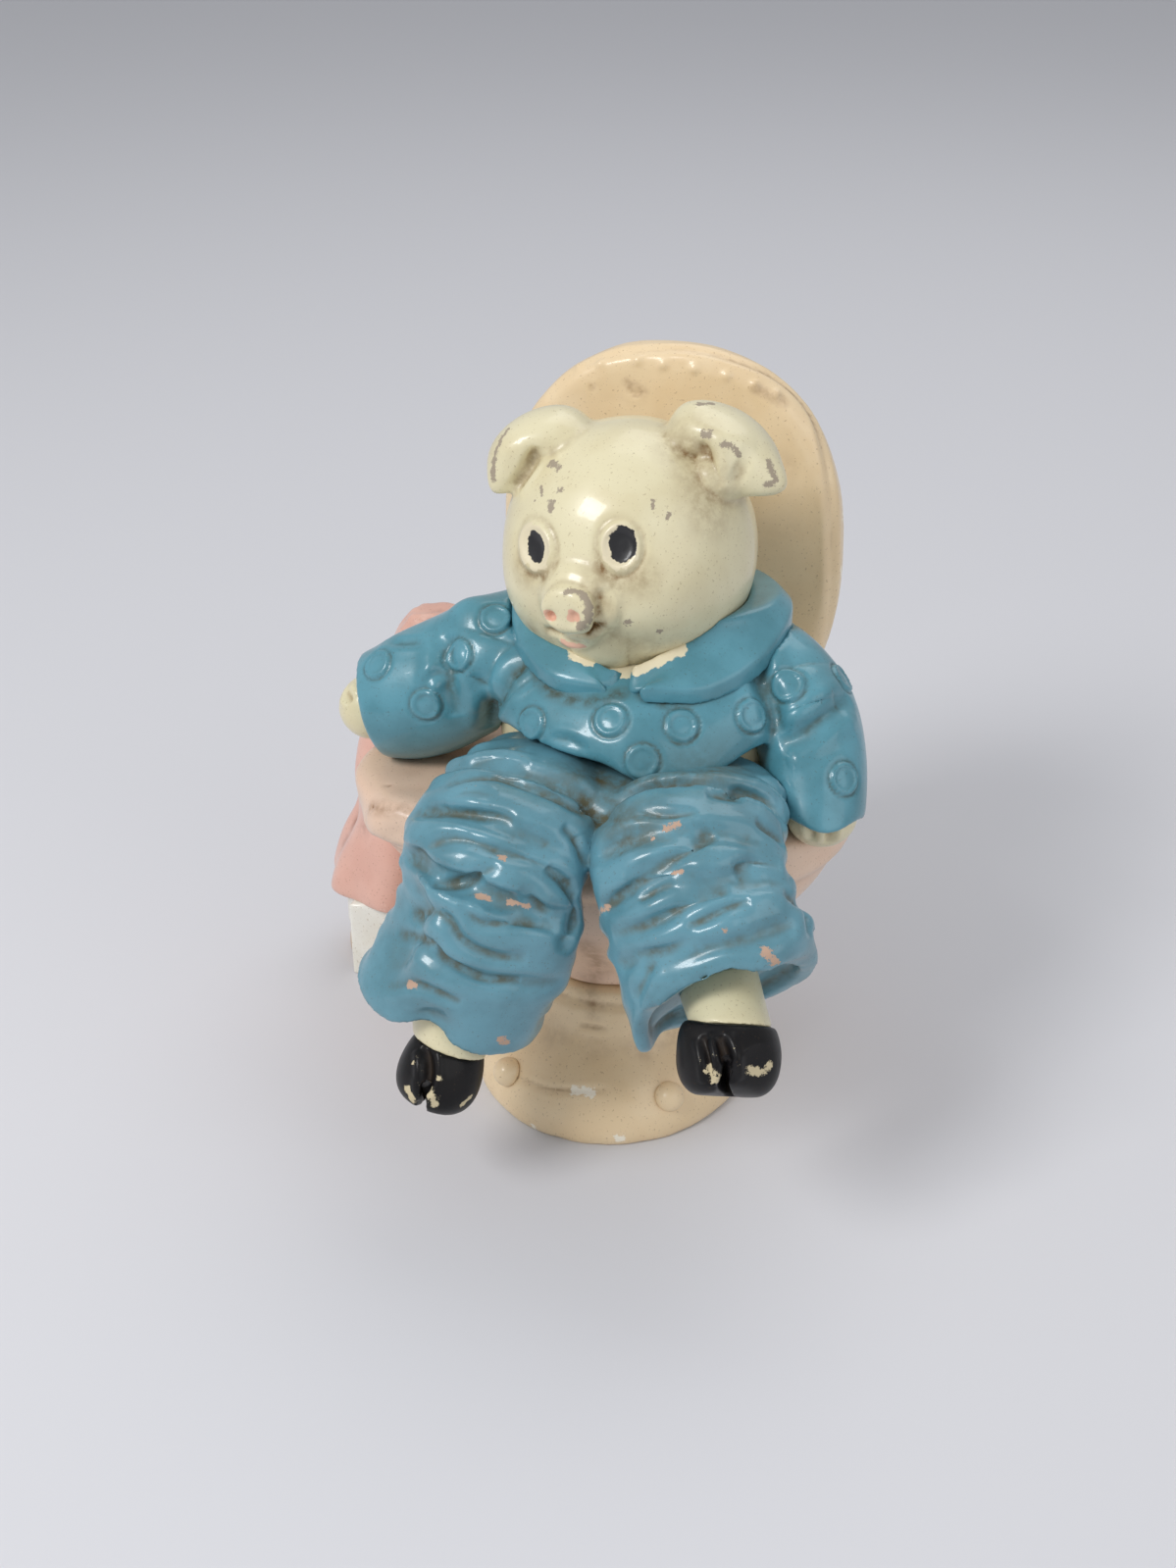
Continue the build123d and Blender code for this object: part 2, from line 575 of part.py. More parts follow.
# Sleeves and hands
SLEEVE_PLACES = {
    "right": (RIGHT_SLEEVE_SHOULDER, RIGHT_SLEEVE_ARM, RIGHT_SLEEVE_ELBOW, RIGHT_SLEEVE_CUFF),
    "left": (
        LEFT_SLEEVE_SHOULDER,
        LEFT_SLEEVE_ARM,
        LEFT_SLEEVE_ELBOW,
        LEFT_SLEEVE_FOREARM,
        LEFT_SLEEVE_CUFF,
    ),
}
SLEEVE_SHARES = {"right": RIGHT_SLEEVE_SHARES, "left": LEFT_SLEEVE_SHARES}
SLEEVE_SIDES = {"right": RIGHT_SLEEVE_SIDE, "left": LEFT_SLEEVE_SIDE}
HAND_PLACES = {"right": RIGHT_HAND, "left": LEFT_HAND}
for side, places in SLEEVE_PLACES.items():
    with BuildPart() as hand:
        with Locations(on_pig(HAND_PLACES[side])):
            Sphere(HAND_RADIUS)
        add(toilet_seat.part, mode=Mode.SUBTRACT)
    save(hand, f"hand_{side}")
    path = [on_pig(place) for place in places]
    radii = [SLEEVE_RADIUS * share for share in SLEEVE_SHARES[side]]
    with BuildPart() as sleeve:
        loft(limb_sections(path, path_directions(path), SLEEVE_SIDES[side], radii, radii))
        for neighbour in (hips, jacket, head, toilet_seat, hand, trouser_legs[side], *collars):
            add(neighbour.part, mode=Mode.SUBTRACT)
    save(sleeve, f"sleeve_{side}")

# Stand: turned foot with a bead and a post
with BuildPart() as stand_foot:
    with BuildSketch(Plane(origin=(STAND_X, STAND_Y, 0), x_dir=(1, 0, 0), z_dir=(0, -1, 0))):
        with BuildLine():
            Line((0, 0), (STAND_RADIUS, 0))
            Line((STAND_RADIUS, 0), (STAND_RADIUS, STAND_BEAD_RADIUS))
            bead_end = (STAND_POST_RADIUS, STAND_HEIGHT)
            Spline((STAND_RADIUS, STAND_BEAD_RADIUS), bead_end, tangents=[(0, 1), (0, 1)])
            Line(bead_end, (0, STAND_HEIGHT))
            Line((0, STAND_HEIGHT), (0, 0))
        make_face()
    revolve(axis=Axis((STAND_X, STAND_Y, 0), (0, 0, 1)))
save(stand_foot, "stand_foot")

# Paper roll standing on the foot, with its loose end hanging to the floor
with BuildPart() as paper_roll:
    with BuildSketch(Plane(origin=(STAND_X, STAND_Y + ROLL_SHIFT_Y, STAND_HEIGHT))):
        Circle(ROLL_RADIUS)
    extrude(amount=ROLL_HEIGHT)
    sheet_y = STAND_Y + ROLL_SHIFT_Y - ROLL_RADIUS + PAPER_THICKNESS / 2
    with BuildSketch(Plane(origin=(STAND_X, sheet_y, 0))):
        Rectangle(PAPER_WIDTH, PAPER_THICKNESS)
    extrude(amount=TOWEL_BASE)
    add(stand_foot.part, mode=Mode.SUBTRACT)
save(paper_roll, "paper_roll")

# Towel draped over the roll, leaning towards the pig's hand
with BuildPart() as towel:
    loft(
        [
            oval(
                (
                    STAND_X + TOWEL_LEAN_X * lean_share,
                    STAND_Y + TOWEL_LEAN_Y * lean_share,
                    TOWEL_BASE + TOWEL_HEIGHT * height_share,
                ),
                TOWEL_HALF_WIDTH * width_share,
                TOWEL_HALF_WIDTH * width_share,
            )
            for height_share, width_share, lean_share in TOWEL_SHARES
        ]
    )
    with BuildSketch(Plane(origin=(STAND_X, STAND_Y + ROLL_SHIFT_Y, TOWEL_BASE))):
        Circle(ROLL_RADIUS)
    extrude(amount=STAND_HEIGHT + ROLL_HEIGHT - TOWEL_BASE, mode=Mode.SUBTRACT)
    add(toilet_bowl.part, mode=Mode.SUBTRACT)
    add(toilet_seat.part, mode=Mode.SUBTRACT)
save(towel, "towel")

for name, builder in {
    "toilet_foot": toilet_foot,
    "foot_bolt_caps": foot_bolt_caps,
    "toilet_bowl": toilet_bowl,
    "toilet_seat": toilet_seat,
    "toilet_lid": toilet_lid,
    "lid_hinges": lid_hinges,
    "hips": hips,
    "head": head,
    "snout": snout,
    "jacket": jacket,
}.items():
    save(builder, name)
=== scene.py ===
"""Looks of a cast pig figurine on a toilet, sculpted around its construction frame.

Coordinates are in metres. Lengths whose names end in _mm are in millimetres. Points
whose names end in _px are pixels of the photo, which the camera here matches, or of
another named viewpoint.
"""

import json
import logging
import math
from dataclasses import dataclass, replace
from enum import Enum
from typing import Optional, Sequence, Union

import bmesh
import bpy
import numpy as np
from mathutils import Matrix, Vector, noise
from mathutils.bvhtree import BVHTree

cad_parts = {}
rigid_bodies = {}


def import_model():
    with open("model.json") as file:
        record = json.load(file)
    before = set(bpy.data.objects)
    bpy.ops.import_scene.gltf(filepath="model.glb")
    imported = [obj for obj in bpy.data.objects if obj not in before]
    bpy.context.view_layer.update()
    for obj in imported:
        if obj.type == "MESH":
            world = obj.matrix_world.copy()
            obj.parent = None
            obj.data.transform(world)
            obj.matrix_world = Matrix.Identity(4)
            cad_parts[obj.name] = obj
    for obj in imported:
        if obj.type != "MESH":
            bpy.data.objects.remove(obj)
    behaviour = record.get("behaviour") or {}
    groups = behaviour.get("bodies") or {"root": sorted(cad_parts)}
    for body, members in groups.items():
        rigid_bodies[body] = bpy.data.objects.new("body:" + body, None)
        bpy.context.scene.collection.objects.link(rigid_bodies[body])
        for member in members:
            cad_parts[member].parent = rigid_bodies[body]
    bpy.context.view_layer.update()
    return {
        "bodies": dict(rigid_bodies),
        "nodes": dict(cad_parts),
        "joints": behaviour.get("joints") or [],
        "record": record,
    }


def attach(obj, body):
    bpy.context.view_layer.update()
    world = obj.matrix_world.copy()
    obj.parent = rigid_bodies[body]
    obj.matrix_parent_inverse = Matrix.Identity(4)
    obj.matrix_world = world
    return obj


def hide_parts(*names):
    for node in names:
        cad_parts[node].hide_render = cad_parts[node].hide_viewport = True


LOG = logging.getLogger("pig_figurine")
MM = 0.001

Point = tuple[float, float, float]
Pixel = tuple[float, float]
Path = tuple[Pixel, ...]
Colour = tuple[float, float, float, float]
SocketValue = Union[bpy.types.NodeSocket, float, Colour]

# The curve from screen colours to linear ones
SCREEN_WHITE = 255
SCREEN_KNEE = 0.04045
SCREEN_SLOPE = 12.92
SCREEN_OFFSET = 0.055
SCREEN_POWER = 2.4


def linear(value: int) -> float:
    """Turns one screen value into a linear one.

    Args:
        value: the screen value, from 0 to 255.
    Returns:
        The linear value, from 0 to 1.
    """
    share = value / SCREEN_WHITE
    if share <= SCREEN_KNEE:
        return share / SCREEN_SLOPE
    return ((share + SCREEN_OFFSET) / (1 + SCREEN_OFFSET)) ** SCREEN_POWER


def paint_colour(red: int, green: int, blue: int) -> Colour:
    """Returns: the linear colour, with full alpha, of a screen colour of 0 to 255."""
    return (linear(red), linear(green), linear(blue), 1.0)


@dataclass(frozen=True)
class Viewpoint:
    """A camera place round the figurine that also turns pixels into rays."""

    azimuth: float = 14.0
    elevation: float = 29.0
    distance: float = 0.360
    target: Point = (-0.0065, 0.004, 0.056)
    lens_mm: float = 45.0
    sensor_mm: float = 36.0
    width_px: int = 1199
    height_px: int = 1599

    def axes(self) -> tuple[np.ndarray, np.ndarray, np.ndarray]:
        """Gives the camera's own directions.

        Returns:
            Its right, up and backward directions.
        """
        turn = math.radians(self.azimuth)
        rise = math.radians(self.elevation)
        right = np.array((math.cos(turn), math.sin(turn), 0.0))
        level = math.cos(rise)
        back = np.array((level * math.sin(turn), -level * math.cos(turn), math.sin(rise)))
        return right, np.cross(back, right), back

    def place(self) -> np.ndarray:
        """Returns: the camera's place."""
        return np.array(self.target) + self.axes()[2] * self.distance

    def focal_px(self) -> float:
        """Returns: the focal length in pixels."""
        return self.lens_mm / self.sensor_mm * self.height_px

    def direction(self, pixel: Pixel) -> np.ndarray:
        """Gives the direction of the ray through a pixel.

        Args:
            pixel: column and row in the photo.
        Returns:
            The unit direction away from the camera.
        """
        right, up, back = self.axes()
        across = (pixel[0] - self.width_px / 2) / self.focal_px()
        above = (self.height_px / 2 - pixel[1]) / self.focal_px()
        ray = right * across + up * above - back
        return ray / np.linalg.norm(ray)

    def project(self, points: np.ndarray) -> np.ndarray:
        """Gives the pixels at which points are seen.

        Args:
            points: rows of coordinates.
        Returns:
            Rows of column and row.
        """
        right, up, back = self.axes()
        offsets = points - self.place()
        depths = -(offsets @ back)
        columns = self.width_px / 2 + self.focal_px() * (offsets @ right) / depths
        rows = self.height_px / 2 - self.focal_px() * (offsets @ up) / depths
        return np.stack((columns, rows), axis=1)

    def add_camera(self) -> None:
        """Adds the scene's camera at this viewpoint."""
        data = bpy.data.cameras.new("photo_camera")
        data.lens = self.lens_mm
        data.sensor_width = self.sensor_mm
        data.sensor_fit = "AUTO"
        data.dof.use_dof = False
        data.clip_start = MM
        camera = bpy.data.objects.new("photo_camera", data)
        camera.location = Vector(self.place())
        camera.rotation_euler = (math.radians(90 - self.elevation), 0.0, math.radians(self.azimuth))
        bpy.context.scene.collection.objects.link(camera)
        bpy.context.scene.camera = camera


PHOTO = Viewpoint()
BEHIND = replace(PHOTO, azimuth=194.0, elevation=20.0)
PIG_LEFT = replace(PHOTO, azimuth=95.0, elevation=15.0)
PIG_RIGHT = replace(PHOTO, azimuth=-75.0, elevation=15.0)


class Mask(Enum):
    """Paint masks that a sculpted surface carries for its material."""

    CAVITY = "cavity"
    WEAR = "wear"
    # Darkening laid in the dirt colour: mostly painted shade in creases and under the chin, collars and
    # sleeves, and real dirt on the lid, the bowl rim and the waist
    SHADE_AND_DIRT = "shade_and_dirt"
    CHIPS = "chips"
    PUPIL = "pupil"
    BLUSH = "blush"
    WHITE = "white"


def smooth_path(points: Sequence[Pixel], step_px: float = 6.0) -> list[Pixel]:
    """Draws a smooth curve through points.

    Args:
        points: the points, at least one.
        step_px: the distance between samples.
    Returns:
        Samples along the curve.
    """
    if len(points) < 2:
        return list(points)
    knots = [np.array(point, float) for point in points]
    knots = [2 * knots[0] - knots[1], *knots, 2 * knots[-1] - knots[-2]]
    samples = []
    for before, start, end, after in zip(knots, knots[1:], knots[2:], knots[3:]):
        count = max(2, int(np.linalg.norm(end - start) / step_px))
        for share in np.linspace(0, 1, count, endpoint=False):
            bend = 2 * start + (end - before) * share
            bend += (2 * before - 5 * start + 4 * end - after) * share**2
            bend += (3 * start - 3 * end + after - before) * share**3
            samples.append(tuple(bend / 2))
    samples.append(tuple(knots[-2]))
    return samples


def noise_at(places: np.ndarray) -> np.ndarray:
    """Returns: a smooth noise about zero at each row of places."""
    return np.array([noise.noise(Vector(place)) for place in places])


@dataclass(frozen=True)
class Pad:
    """A lump of clay that fills the room between nodes."""

    centre_mm: Point
    radii_mm: Point
    subdivisions: int = 4

    def add(self, mesh: bmesh.types.BMesh) -> None:
        """Adds the lump to a mesh.

        Args:
            mesh: the mesh.
        """
        place = Matrix.Translation(Vector(self.centre_mm) * MM)
        size = Matrix.Diagonal((*(radius * MM for radius in self.radii_mm), 1.0))
        bmesh.ops.create_icosphere(
            mesh, subdivisions=self.subdivisions, radius=1.0, matrix=place @ size
        )


@dataclass(frozen=True)
class Relief:
    """One reading of a surface's relief, taken against a smoothed copy."""

    steps: int
    full_depth_mm: float
    weight: float


FINE_RELIEF = Relief(steps=6, full_depth_mm=0.1, weight=0.5)
BROAD_RELIEF = Relief(steps=50, full_depth_mm=0.55, weight=0.7)
MERGE_MM = 0.001
SMOOTHING_SHARE = 0.6
GLANCING = 0.3
TINY_LENGTH = 1e-12
TINY_SQUARE = 1e-15


class Sculpt:
    """A dense surface made from construction nodes and worked with brushes.

    Distances of brushes are measured on the surface as it was last settled.
    """

    def __init__(
        self,
        nodes: Sequence[bpy.types.Object],
        voxel_mm: float,
        smoothing: int,
        pads: Sequence[Pad],
    ) -> None:
        """Makes the surface.

        Args:
            nodes: the construction nodes that the surface covers.
            voxel_mm: the size of its cells.
            smoothing: how many smoothing steps blend the nodes.
            pads: lumps that fill the room between the nodes.
        """
        self._remesh(nodes, voxel_mm * MM, pads)
        self.smooth(smoothing)
        self.settle()
        self.masks: dict[Mask, np.ndarray] = {}

    def _remesh(self, nodes: Sequence[bpy.types.Object], voxel: float, pads: Sequence[Pad]) -> None:
        """Joins merged copies of the nodes and the pads into one surface of even cells.

        Args:
            nodes: the construction nodes.
            voxel: the size of the cells.
            pads: the lumps.
        """
        joined = bmesh.new()
        for node in nodes:
            joined.from_mesh(node.data)
        bmesh.ops.remove_doubles(joined, verts=joined.verts, dist=MERGE_MM * MM)
        for pad in pads:
            pad.add(joined)
        mesh = bpy.data.meshes.new("sculpt_source")
        joined.to_mesh(mesh)
        joined.free()
        source = bpy.data.objects.new("sculpt_source", mesh)
        bpy.context.scene.collection.objects.link(source)
        modifier = source.modifiers.new("cells", "REMESH")
        modifier.mode = "VOXEL"
        modifier.voxel_size = voxel
        depsgraph = bpy.context.evaluated_depsgraph_get()
        cells = source.evaluated_get(depsgraph).to_mesh()
        self.places = np.empty(len(cells.vertices) * 3)
        cells.vertices.foreach_get("co", self.places)
        self.places = self.places.reshape(-1, 3)
        corners = np.empty(len(cells.loops), int)
        cells.loops.foreach_get("vertex_index", corners)
        self.faces = corners.reshape(-1, 4)
        self.edges = np.empty(len(cells.edges) * 2, int)
        cells.edges.foreach_get("vertices", self.edges)
        self.edges = self.edges.reshape(-1, 2)
        source.evaluated_get(depsgraph).to_mesh_clear()
        bpy.data.objects.remove(source)
        bpy.data.meshes.remove(mesh)

    def neighbour_means(self, values: np.ndarray) -> np.ndarray:
        """Averages each vertex's neighbours.

        Args:
            values: rows of values on the vertices.
        Returns:
            The rows of means.
        """
        starts = self.edges[:, 0]
        ends = self.edges[:, 1]
        size = len(values)
        counts = np.bincount(starts, minlength=size) + np.bincount(ends, minlength=size)
        sums = [
            np.bincount(starts, column[ends], size) + np.bincount(ends, column[starts], size)
            for column in values.T
        ]
        return np.stack(sums, axis=1) / np.maximum(counts, 1)[:, None]

    def smooth(self, steps: int, where: Optional[np.ndarray] = None) -> None:
        """Smooths the surface.

        Args:
            steps: how often.
            where: the strength on each vertex, everywhere if left out.
        """
        weights = SMOOTHING_SHARE if where is None else SMOOTHING_SHARE * where[:, None]
        for _ in range(steps):
            self.places += (self.neighbour_means(self.places) - self.places) * weights

    def settle(self) -> None:
        """Takes the present surface as the one that brushes measure on."""
        self.rest = self.places.copy()
        self.tree = BVHTree.FromPolygons(self.rest.tolist(), self.faces.tolist())

    def normals(self) -> np.ndarray:
        """Works out which way the surface faces.

        Returns:
            The unit normal of each vertex.
        """
        a, b, c, d = (self.places[self.faces[:, corner]] for corner in range(4))
        crosses = np.cross(c - a, d - b)
        sums = np.zeros_like(self.places)
        for corner in range(4):
            for axis in range(3):
                sums[:, axis] += np.bincount(self.faces[:, corner], crosses[:, axis], len(sums))
        return sums / np.maximum(np.linalg.norm(sums, axis=1, keepdims=True), TINY_LENGTH)

    def hit(self, view: Viewpoint, pixel: Pixel) -> Optional[np.ndarray]:
        """Finds the point of the surface at a pixel.

        Args:
            view: the viewpoint that the pixel belongs to.
            pixel: column and row.
        Returns:
            The point, or None where the ray misses.
        """
        place = self.tree.ray_cast(Vector(view.place()), Vector(view.direction(pixel)))[0]
        return None if place is None else np.array(place)

    def trace(self, view: Viewpoint, points: Sequence[Pixel]) -> np.ndarray:
        """Lays a smooth pixel path on the surface.

        Args:
            view: the viewpoint that the pixels belong to.
            points: the path's pixels.
        Returns:
            Rows of points on the surface.
        """
        hits = [self.hit(view, pixel) for pixel in smooth_path(points)]
        return np.array([point for point in hits if point is not None]).reshape(-1, 3)

    def distances(self, path: np.ndarray) -> tuple[np.ndarray, np.ndarray]:
        """Measures how far each vertex is from a path.

        Args:
            path: rows of points.
        Returns:
            The distances, and each vertex's share of the way along the path.
        """
        nearest = np.full(len(self.rest), np.inf)
        along = np.zeros(len(self.rest))
        if len(path) == 1:
            return np.linalg.norm(self.rest - path[0], axis=1), along
        for index, (start, end) in enumerate(zip(path, path[1:])):
            span = end - start
            shares = np.clip((self.rest - start) @ span / max(span @ span, TINY_SQUARE), 0, 1)
            gaps = np.linalg.norm(self.rest - start - shares[:, None] * span, axis=1)
            closer = gaps < nearest
            nearest[closer] = gaps[closer]
            along[closer] = (index + shares[closer]) / (len(path) - 1)
        return nearest, along

    def push(self, heights: np.ndarray) -> None:
        """Moves each vertex along its normal, outwards by its height in metres."""
        self.places += self.normals() * heights[:, None]

    def hidden_from(self, view: Viewpoint) -> np.ndarray:
        """Tells which vertices a view doesn't show.

        Args:
            view: the viewpoint.
        Returns:
            1 on vertices that face away and 0 on those that face the view, with a soft change.
        """
        sight = view.place() - self.places
        facing = (self.normals() * sight).sum(axis=1) / np.linalg.norm(sight, axis=1)
        return np.clip((GLANCING - facing) / GLANCING, 0, 1)

    def roughen(self, height_mm: float, size_mm: float, seed: float) -> None:
        """Gives the surface the lumps of hand modelling.

        Args:
            height_mm: the height of the lumps.
            size_mm: how large the lumps are.
            seed: shifts the pattern, so that pieces differ.
        """
        self.push(noise_at(self.rest / (size_mm * MM) + seed) * height_mm * MM)

    def mark(self, mask: Mask, values: np.ndarray) -> None:
        """Adds values, one on each vertex, to a paint mask where they are stronger."""
        self.masks[mask] = np.maximum(self.masks.get(mask, np.zeros(len(values))), values)

    def mark_relief(self) -> None:
        """Fills the masks for recesses and for worn ridges from the finished shape."""
        normals = self.normals()
        kept = self.places.copy()
        relief = np.zeros(len(kept))
        for reading in (FINE_RELIEF, BROAD_RELIEF):
            self.smooth(reading.steps)
            depths = ((self.places - kept) * normals).sum(axis=1) / (reading.full_depth_mm * MM)
            relief += depths * reading.weight
        self.places = kept
        self.mark(Mask.CAVITY, np.clip(relief, 0, 1))
        self.mark(Mask.WEAR, np.clip(-relief, 0, 1))

    def make_object(self, name: str) -> bpy.types.Object:
        """Turns the surface into an object.

        Args:
            name: the object's name.
        Returns:
            The object, linked to the scene.
        """
        mesh = bpy.data.meshes.new(name)
        mesh.from_pydata(self.places.tolist(), [], self.faces.tolist())
        mesh.polygons.foreach_set("use_smooth", np.ones(len(mesh.polygons), bool))
        for mask, values in self.masks.items():
            attribute = mesh.attributes.new(mask.value, "FLOAT", "POINT")
            attribute.data.foreach_set("value", values.astype(np.float32))
        mesh.update()
        piece = bpy.data.objects.new(name, mesh)
        bpy.context.scene.collection.objects.link(piece)
        return piece


LIP_PLACE = 2.1
LIP_SPREAD = 0.9


def bump(gaps: np.ndarray) -> np.ndarray:
    """Returns: a round bump, 1 where the gap is 0 and almost gone at 2."""
    return np.exp(-(gaps**2))


def fold(gaps: np.ndarray, lip_share: float) -> np.ndarray:
    """Gives the heights across a valley with soft swellings beside it.

    Args:
        gaps: distances from the valley, in its widths.
        lip_share: the swellings' height as a share of the valley's depth.
    Returns:
        The heights, about -1 in the valley.
    """
    lips = np.exp(-((gaps - LIP_PLACE) ** 2) / LIP_SPREAD) * lip_share
    return lips - bump(gaps)


@dataclass(frozen=True)
class Brush:
    """Something that works a surface."""

    def apply(self, sculpt: Sculpt) -> None:
        """Works the given surface."""
        raise NotImplementedError


@dataclass(frozen=True)
class Stroke(Brush):
    """One brush stroke along pixels of a view."""

    path_px: Path
    width_mm: float
    view: Viewpoint = PHOTO

    def apply(self, sculpt: Sculpt) -> None:
        """Works the stroke into a surface, or skips it where its path misses.

        Args:
            sculpt: the surface.
        """
        path = sculpt.trace(self.view, self.path_px)
        if len(path):
            gaps, along = sculpt.distances(path)
            taper = np.sqrt(np.clip(np.sin(along * math.pi), 0, 1))
            self.work(sculpt, gaps / (self.width_mm * MM), taper)

    def work(self, sculpt: Sculpt, gaps: np.ndarray, taper: np.ndarray) -> None:
        """Changes the surface.

        Args:
            sculpt: the surface.
            gaps: distances from the path, in stroke widths.
            taper: 1 in the middle of the path and 0 at its ends.
        """
        raise NotImplementedError


@dataclass(frozen=True)
class Crease(Stroke):
    """A valley with soft swellings beside it."""

    depth_mm: float = 0.6
    lip_share: float = 0.45

    def work(self, sculpt: Sculpt, gaps: np.ndarray, taper: np.ndarray) -> None:
        """Presses the valley in and raises the swellings."""
        sculpt.push(fold(gaps, self.lip_share) * taper * self.depth_mm * MM)


@dataclass(frozen=True)
class Swell(Stroke):
    """A soft rise, or a soft hollow if its height is negative."""

    height_mm: float = 0.6

    def work(self, sculpt: Sculpt, gaps: np.ndarray, taper: np.ndarray) -> None:
        """Raises the surface, with no taper where the path is one spot."""
        fade = taper if len(self.path_px) > 1 else np.ones_like(taper)
        sculpt.push(bump(gaps) * fade * self.height_mm * MM)


@dataclass(frozen=True)
class Grab(Stroke):
    """Drags the surface across the picture."""

    shift_px: Pixel = (0.0, 0.0)

    def work(self, sculpt: Sculpt, gaps: np.ndarray, taper: np.ndarray) -> None:
        """Shifts the surface by pixels at the target's distance.

        Args:
            sculpt: the surface.
            gaps: distances from the path, in stroke widths.
            taper: not used, because a grab is as strong at its ends.
        """
        right, up, _ = self.view.axes()
        across, down = self.shift_px
        shift = (right * across - up * down) * self.view.distance / self.view.focal_px()
        sculpt.places += bump(gaps)[:, None] * shift


@dataclass(frozen=True)
class Rub(Stroke):
    """Rubs the surface smooth."""

    steps: int = 20

    def work(self, sculpt: Sculpt, gaps: np.ndarray, taper: np.ndarray) -> None:
        """Smooths the surface near the path."""
        sculpt.smooth(self.steps, where=bump(gaps))


@dataclass(frozen=True)
class RingDot(Stroke):
    """A round dot with a raised edge; the width is its radius."""

    height_mm: float = 0.42
    ring_place: float = 0.95
    ring_share: float = 0.14
    moat_place: float = 1.24
    moat_share: float = 0.7
    dome_width: float = 0.6
    dome_share: float = 0.35

    def work(self, sculpt: Sculpt, gaps: np.ndarray, taper: np.ndarray) -> None:
        """Raises the ring and a low dome inside it, and sinks a moat outside.

        Args:
            sculpt: the surface.
            gaps: distances from the dot's centre, in radii.
            taper: not used, because a dot has no ends.
        """
        ring = bump((gaps - self.ring_place) / self.ring_share)
        moat = bump((gaps - self.moat_place) / self.ring_share) * self.moat_share
        dome = bump(gaps / self.dome_width) * self.dome_share
        sculpt.push((ring + dome - moat) * self.height_mm * MM)


@dataclass(frozen=True)
class Daub(Stroke):
    """Paint, painted shade, dirt or a chip laid along a path."""

    mask: Mask = Mask.CHIPS
    strength: float = 1.0
    reach: float = 2.4

    def work(self, sculpt: Sculpt, gaps: np.ndarray, taper: np.ndarray) -> None:
        """Lays the paint, weaker away from the path, up to its reach in widths."""
        sculpt.mark(self.mask, np.clip(1 - gaps / self.reach, 0, 1) * self.strength)


@dataclass(frozen=True)
class BandFold(Brush):
    """A fold that goes on round a limb where the photo doesn't show it."""

    centre_mm: Point
    heading: Point
    reach_mm: float = 20.0
    fade: float = 3.0
    width_mm: float = 1.6
    depth_mm: float = 0.9
    lip_share: float = 0.5
    wobble_mm: float = 2.5
    wobble_size_mm: float = 12.0

    def apply(self, sculpt: Sculpt) -> None:
        """Works the fold into a surface.

        Args:
            sculpt: the surface.
        """
        heading = np.array(self.heading) / np.linalg.norm(self.heading)
        offsets = sculpt.rest - np.array(self.centre_mm) * MM
        wobble = noise_at(sculpt.rest / (self.wobble_size_mm * MM)) * self.wobble_mm * MM
        gaps = np.abs(offsets @ heading + wobble) / (self.width_mm * MM)
        reaches = np.linalg.norm(offsets, axis=1) / (self.reach_mm * MM)
        strength = np.clip(self.fade - self.fade * reaches, 0, 1) * sculpt.hidden_from(PHOTO)
        sculpt.push(fold(gaps, self.lip_share) * strength * self.depth_mm * MM)


@dataclass(frozen=True)
class Drapery(Brush):
    """Hanging folds round an upright axis that leans from its foot to its head."""

    foot_mm: Point
    head_mm: Point
    folds: int
    depth_mm: float
    sway: float = 1.3
    sway_turns: int = 2
    sway_start: float = 0.7
    head_fade: float = 0.75

    def apply(self, sculpt: Sculpt) -> None:
        """Works the folds into a surface.

        Args:
            sculpt: the surface.
        """
        foot = np.array(self.foot_mm) * MM
        head = np.array(self.head_mm) * MM
        rise = np.clip((sculpt.rest[:, 2] - foot[2]) / (head[2] - foot[2]), 0, 1)
        offsets = sculpt.rest - foot - rise[:, None] * (head - foot)
        angles = np.arctan2(offsets[:, 1], offsets[:, 0])
        sways = np.sin(angles * self.sway_turns + self.sway_start) * self.sway
        waves = np.cos(angles * self.folds + sways)
        outward = np.stack((np.cos(angles), np.sin(angles), np.zeros_like(angles)), axis=1)
        depths = waves * (1 - rise * self.head_fade) * self.depth_mm * MM
        sculpt.places += outward * depths[:, None]


def creases(
    paths: Sequence[Path], width_mm: float, depth_mm: float, view: Viewpoint = PHOTO
) -> list[Brush]:
    """Returns: creases of one width and depth along pixel paths of a view."""
    return [Crease(path, width_mm, view, depth_mm) for path in paths]


def daubs(mask: Mask, paths: Sequence[Path], width_mm: float, strength: float = 1.0) -> list[Brush]:
    """Returns: daubs of one width and strength on a mask, along pixel paths of the photo."""
    return [Daub(path, width_mm, mask=mask, strength=strength) for path in paths]


def swells(spots: Sequence[Pixel], width_mm: float, height_mm: float) -> list[Brush]:
    """Returns: round swellings of one width and height at pixels of the photo."""
    return [Swell((spot,), width_mm, height_mm=height_mm) for spot in spots]


@dataclass(frozen=True)
class Finish:
    """A hand-painted, varnished and worn finish."""

    name: str
    paint: Colour
    tone: Colour
    # The colour of dirt in the hollows, which the shade-and-dirt mask also lays as painted shade
    dirt_and_shade: Colour
    chip: Colour
    roughness: float = 0.34
    dirt_gain: float = 1.0
    wear_gain: float = 0.35
    speck_gain: float = 0.5
    coat: float = 0.5
    mirror: float = 0.5


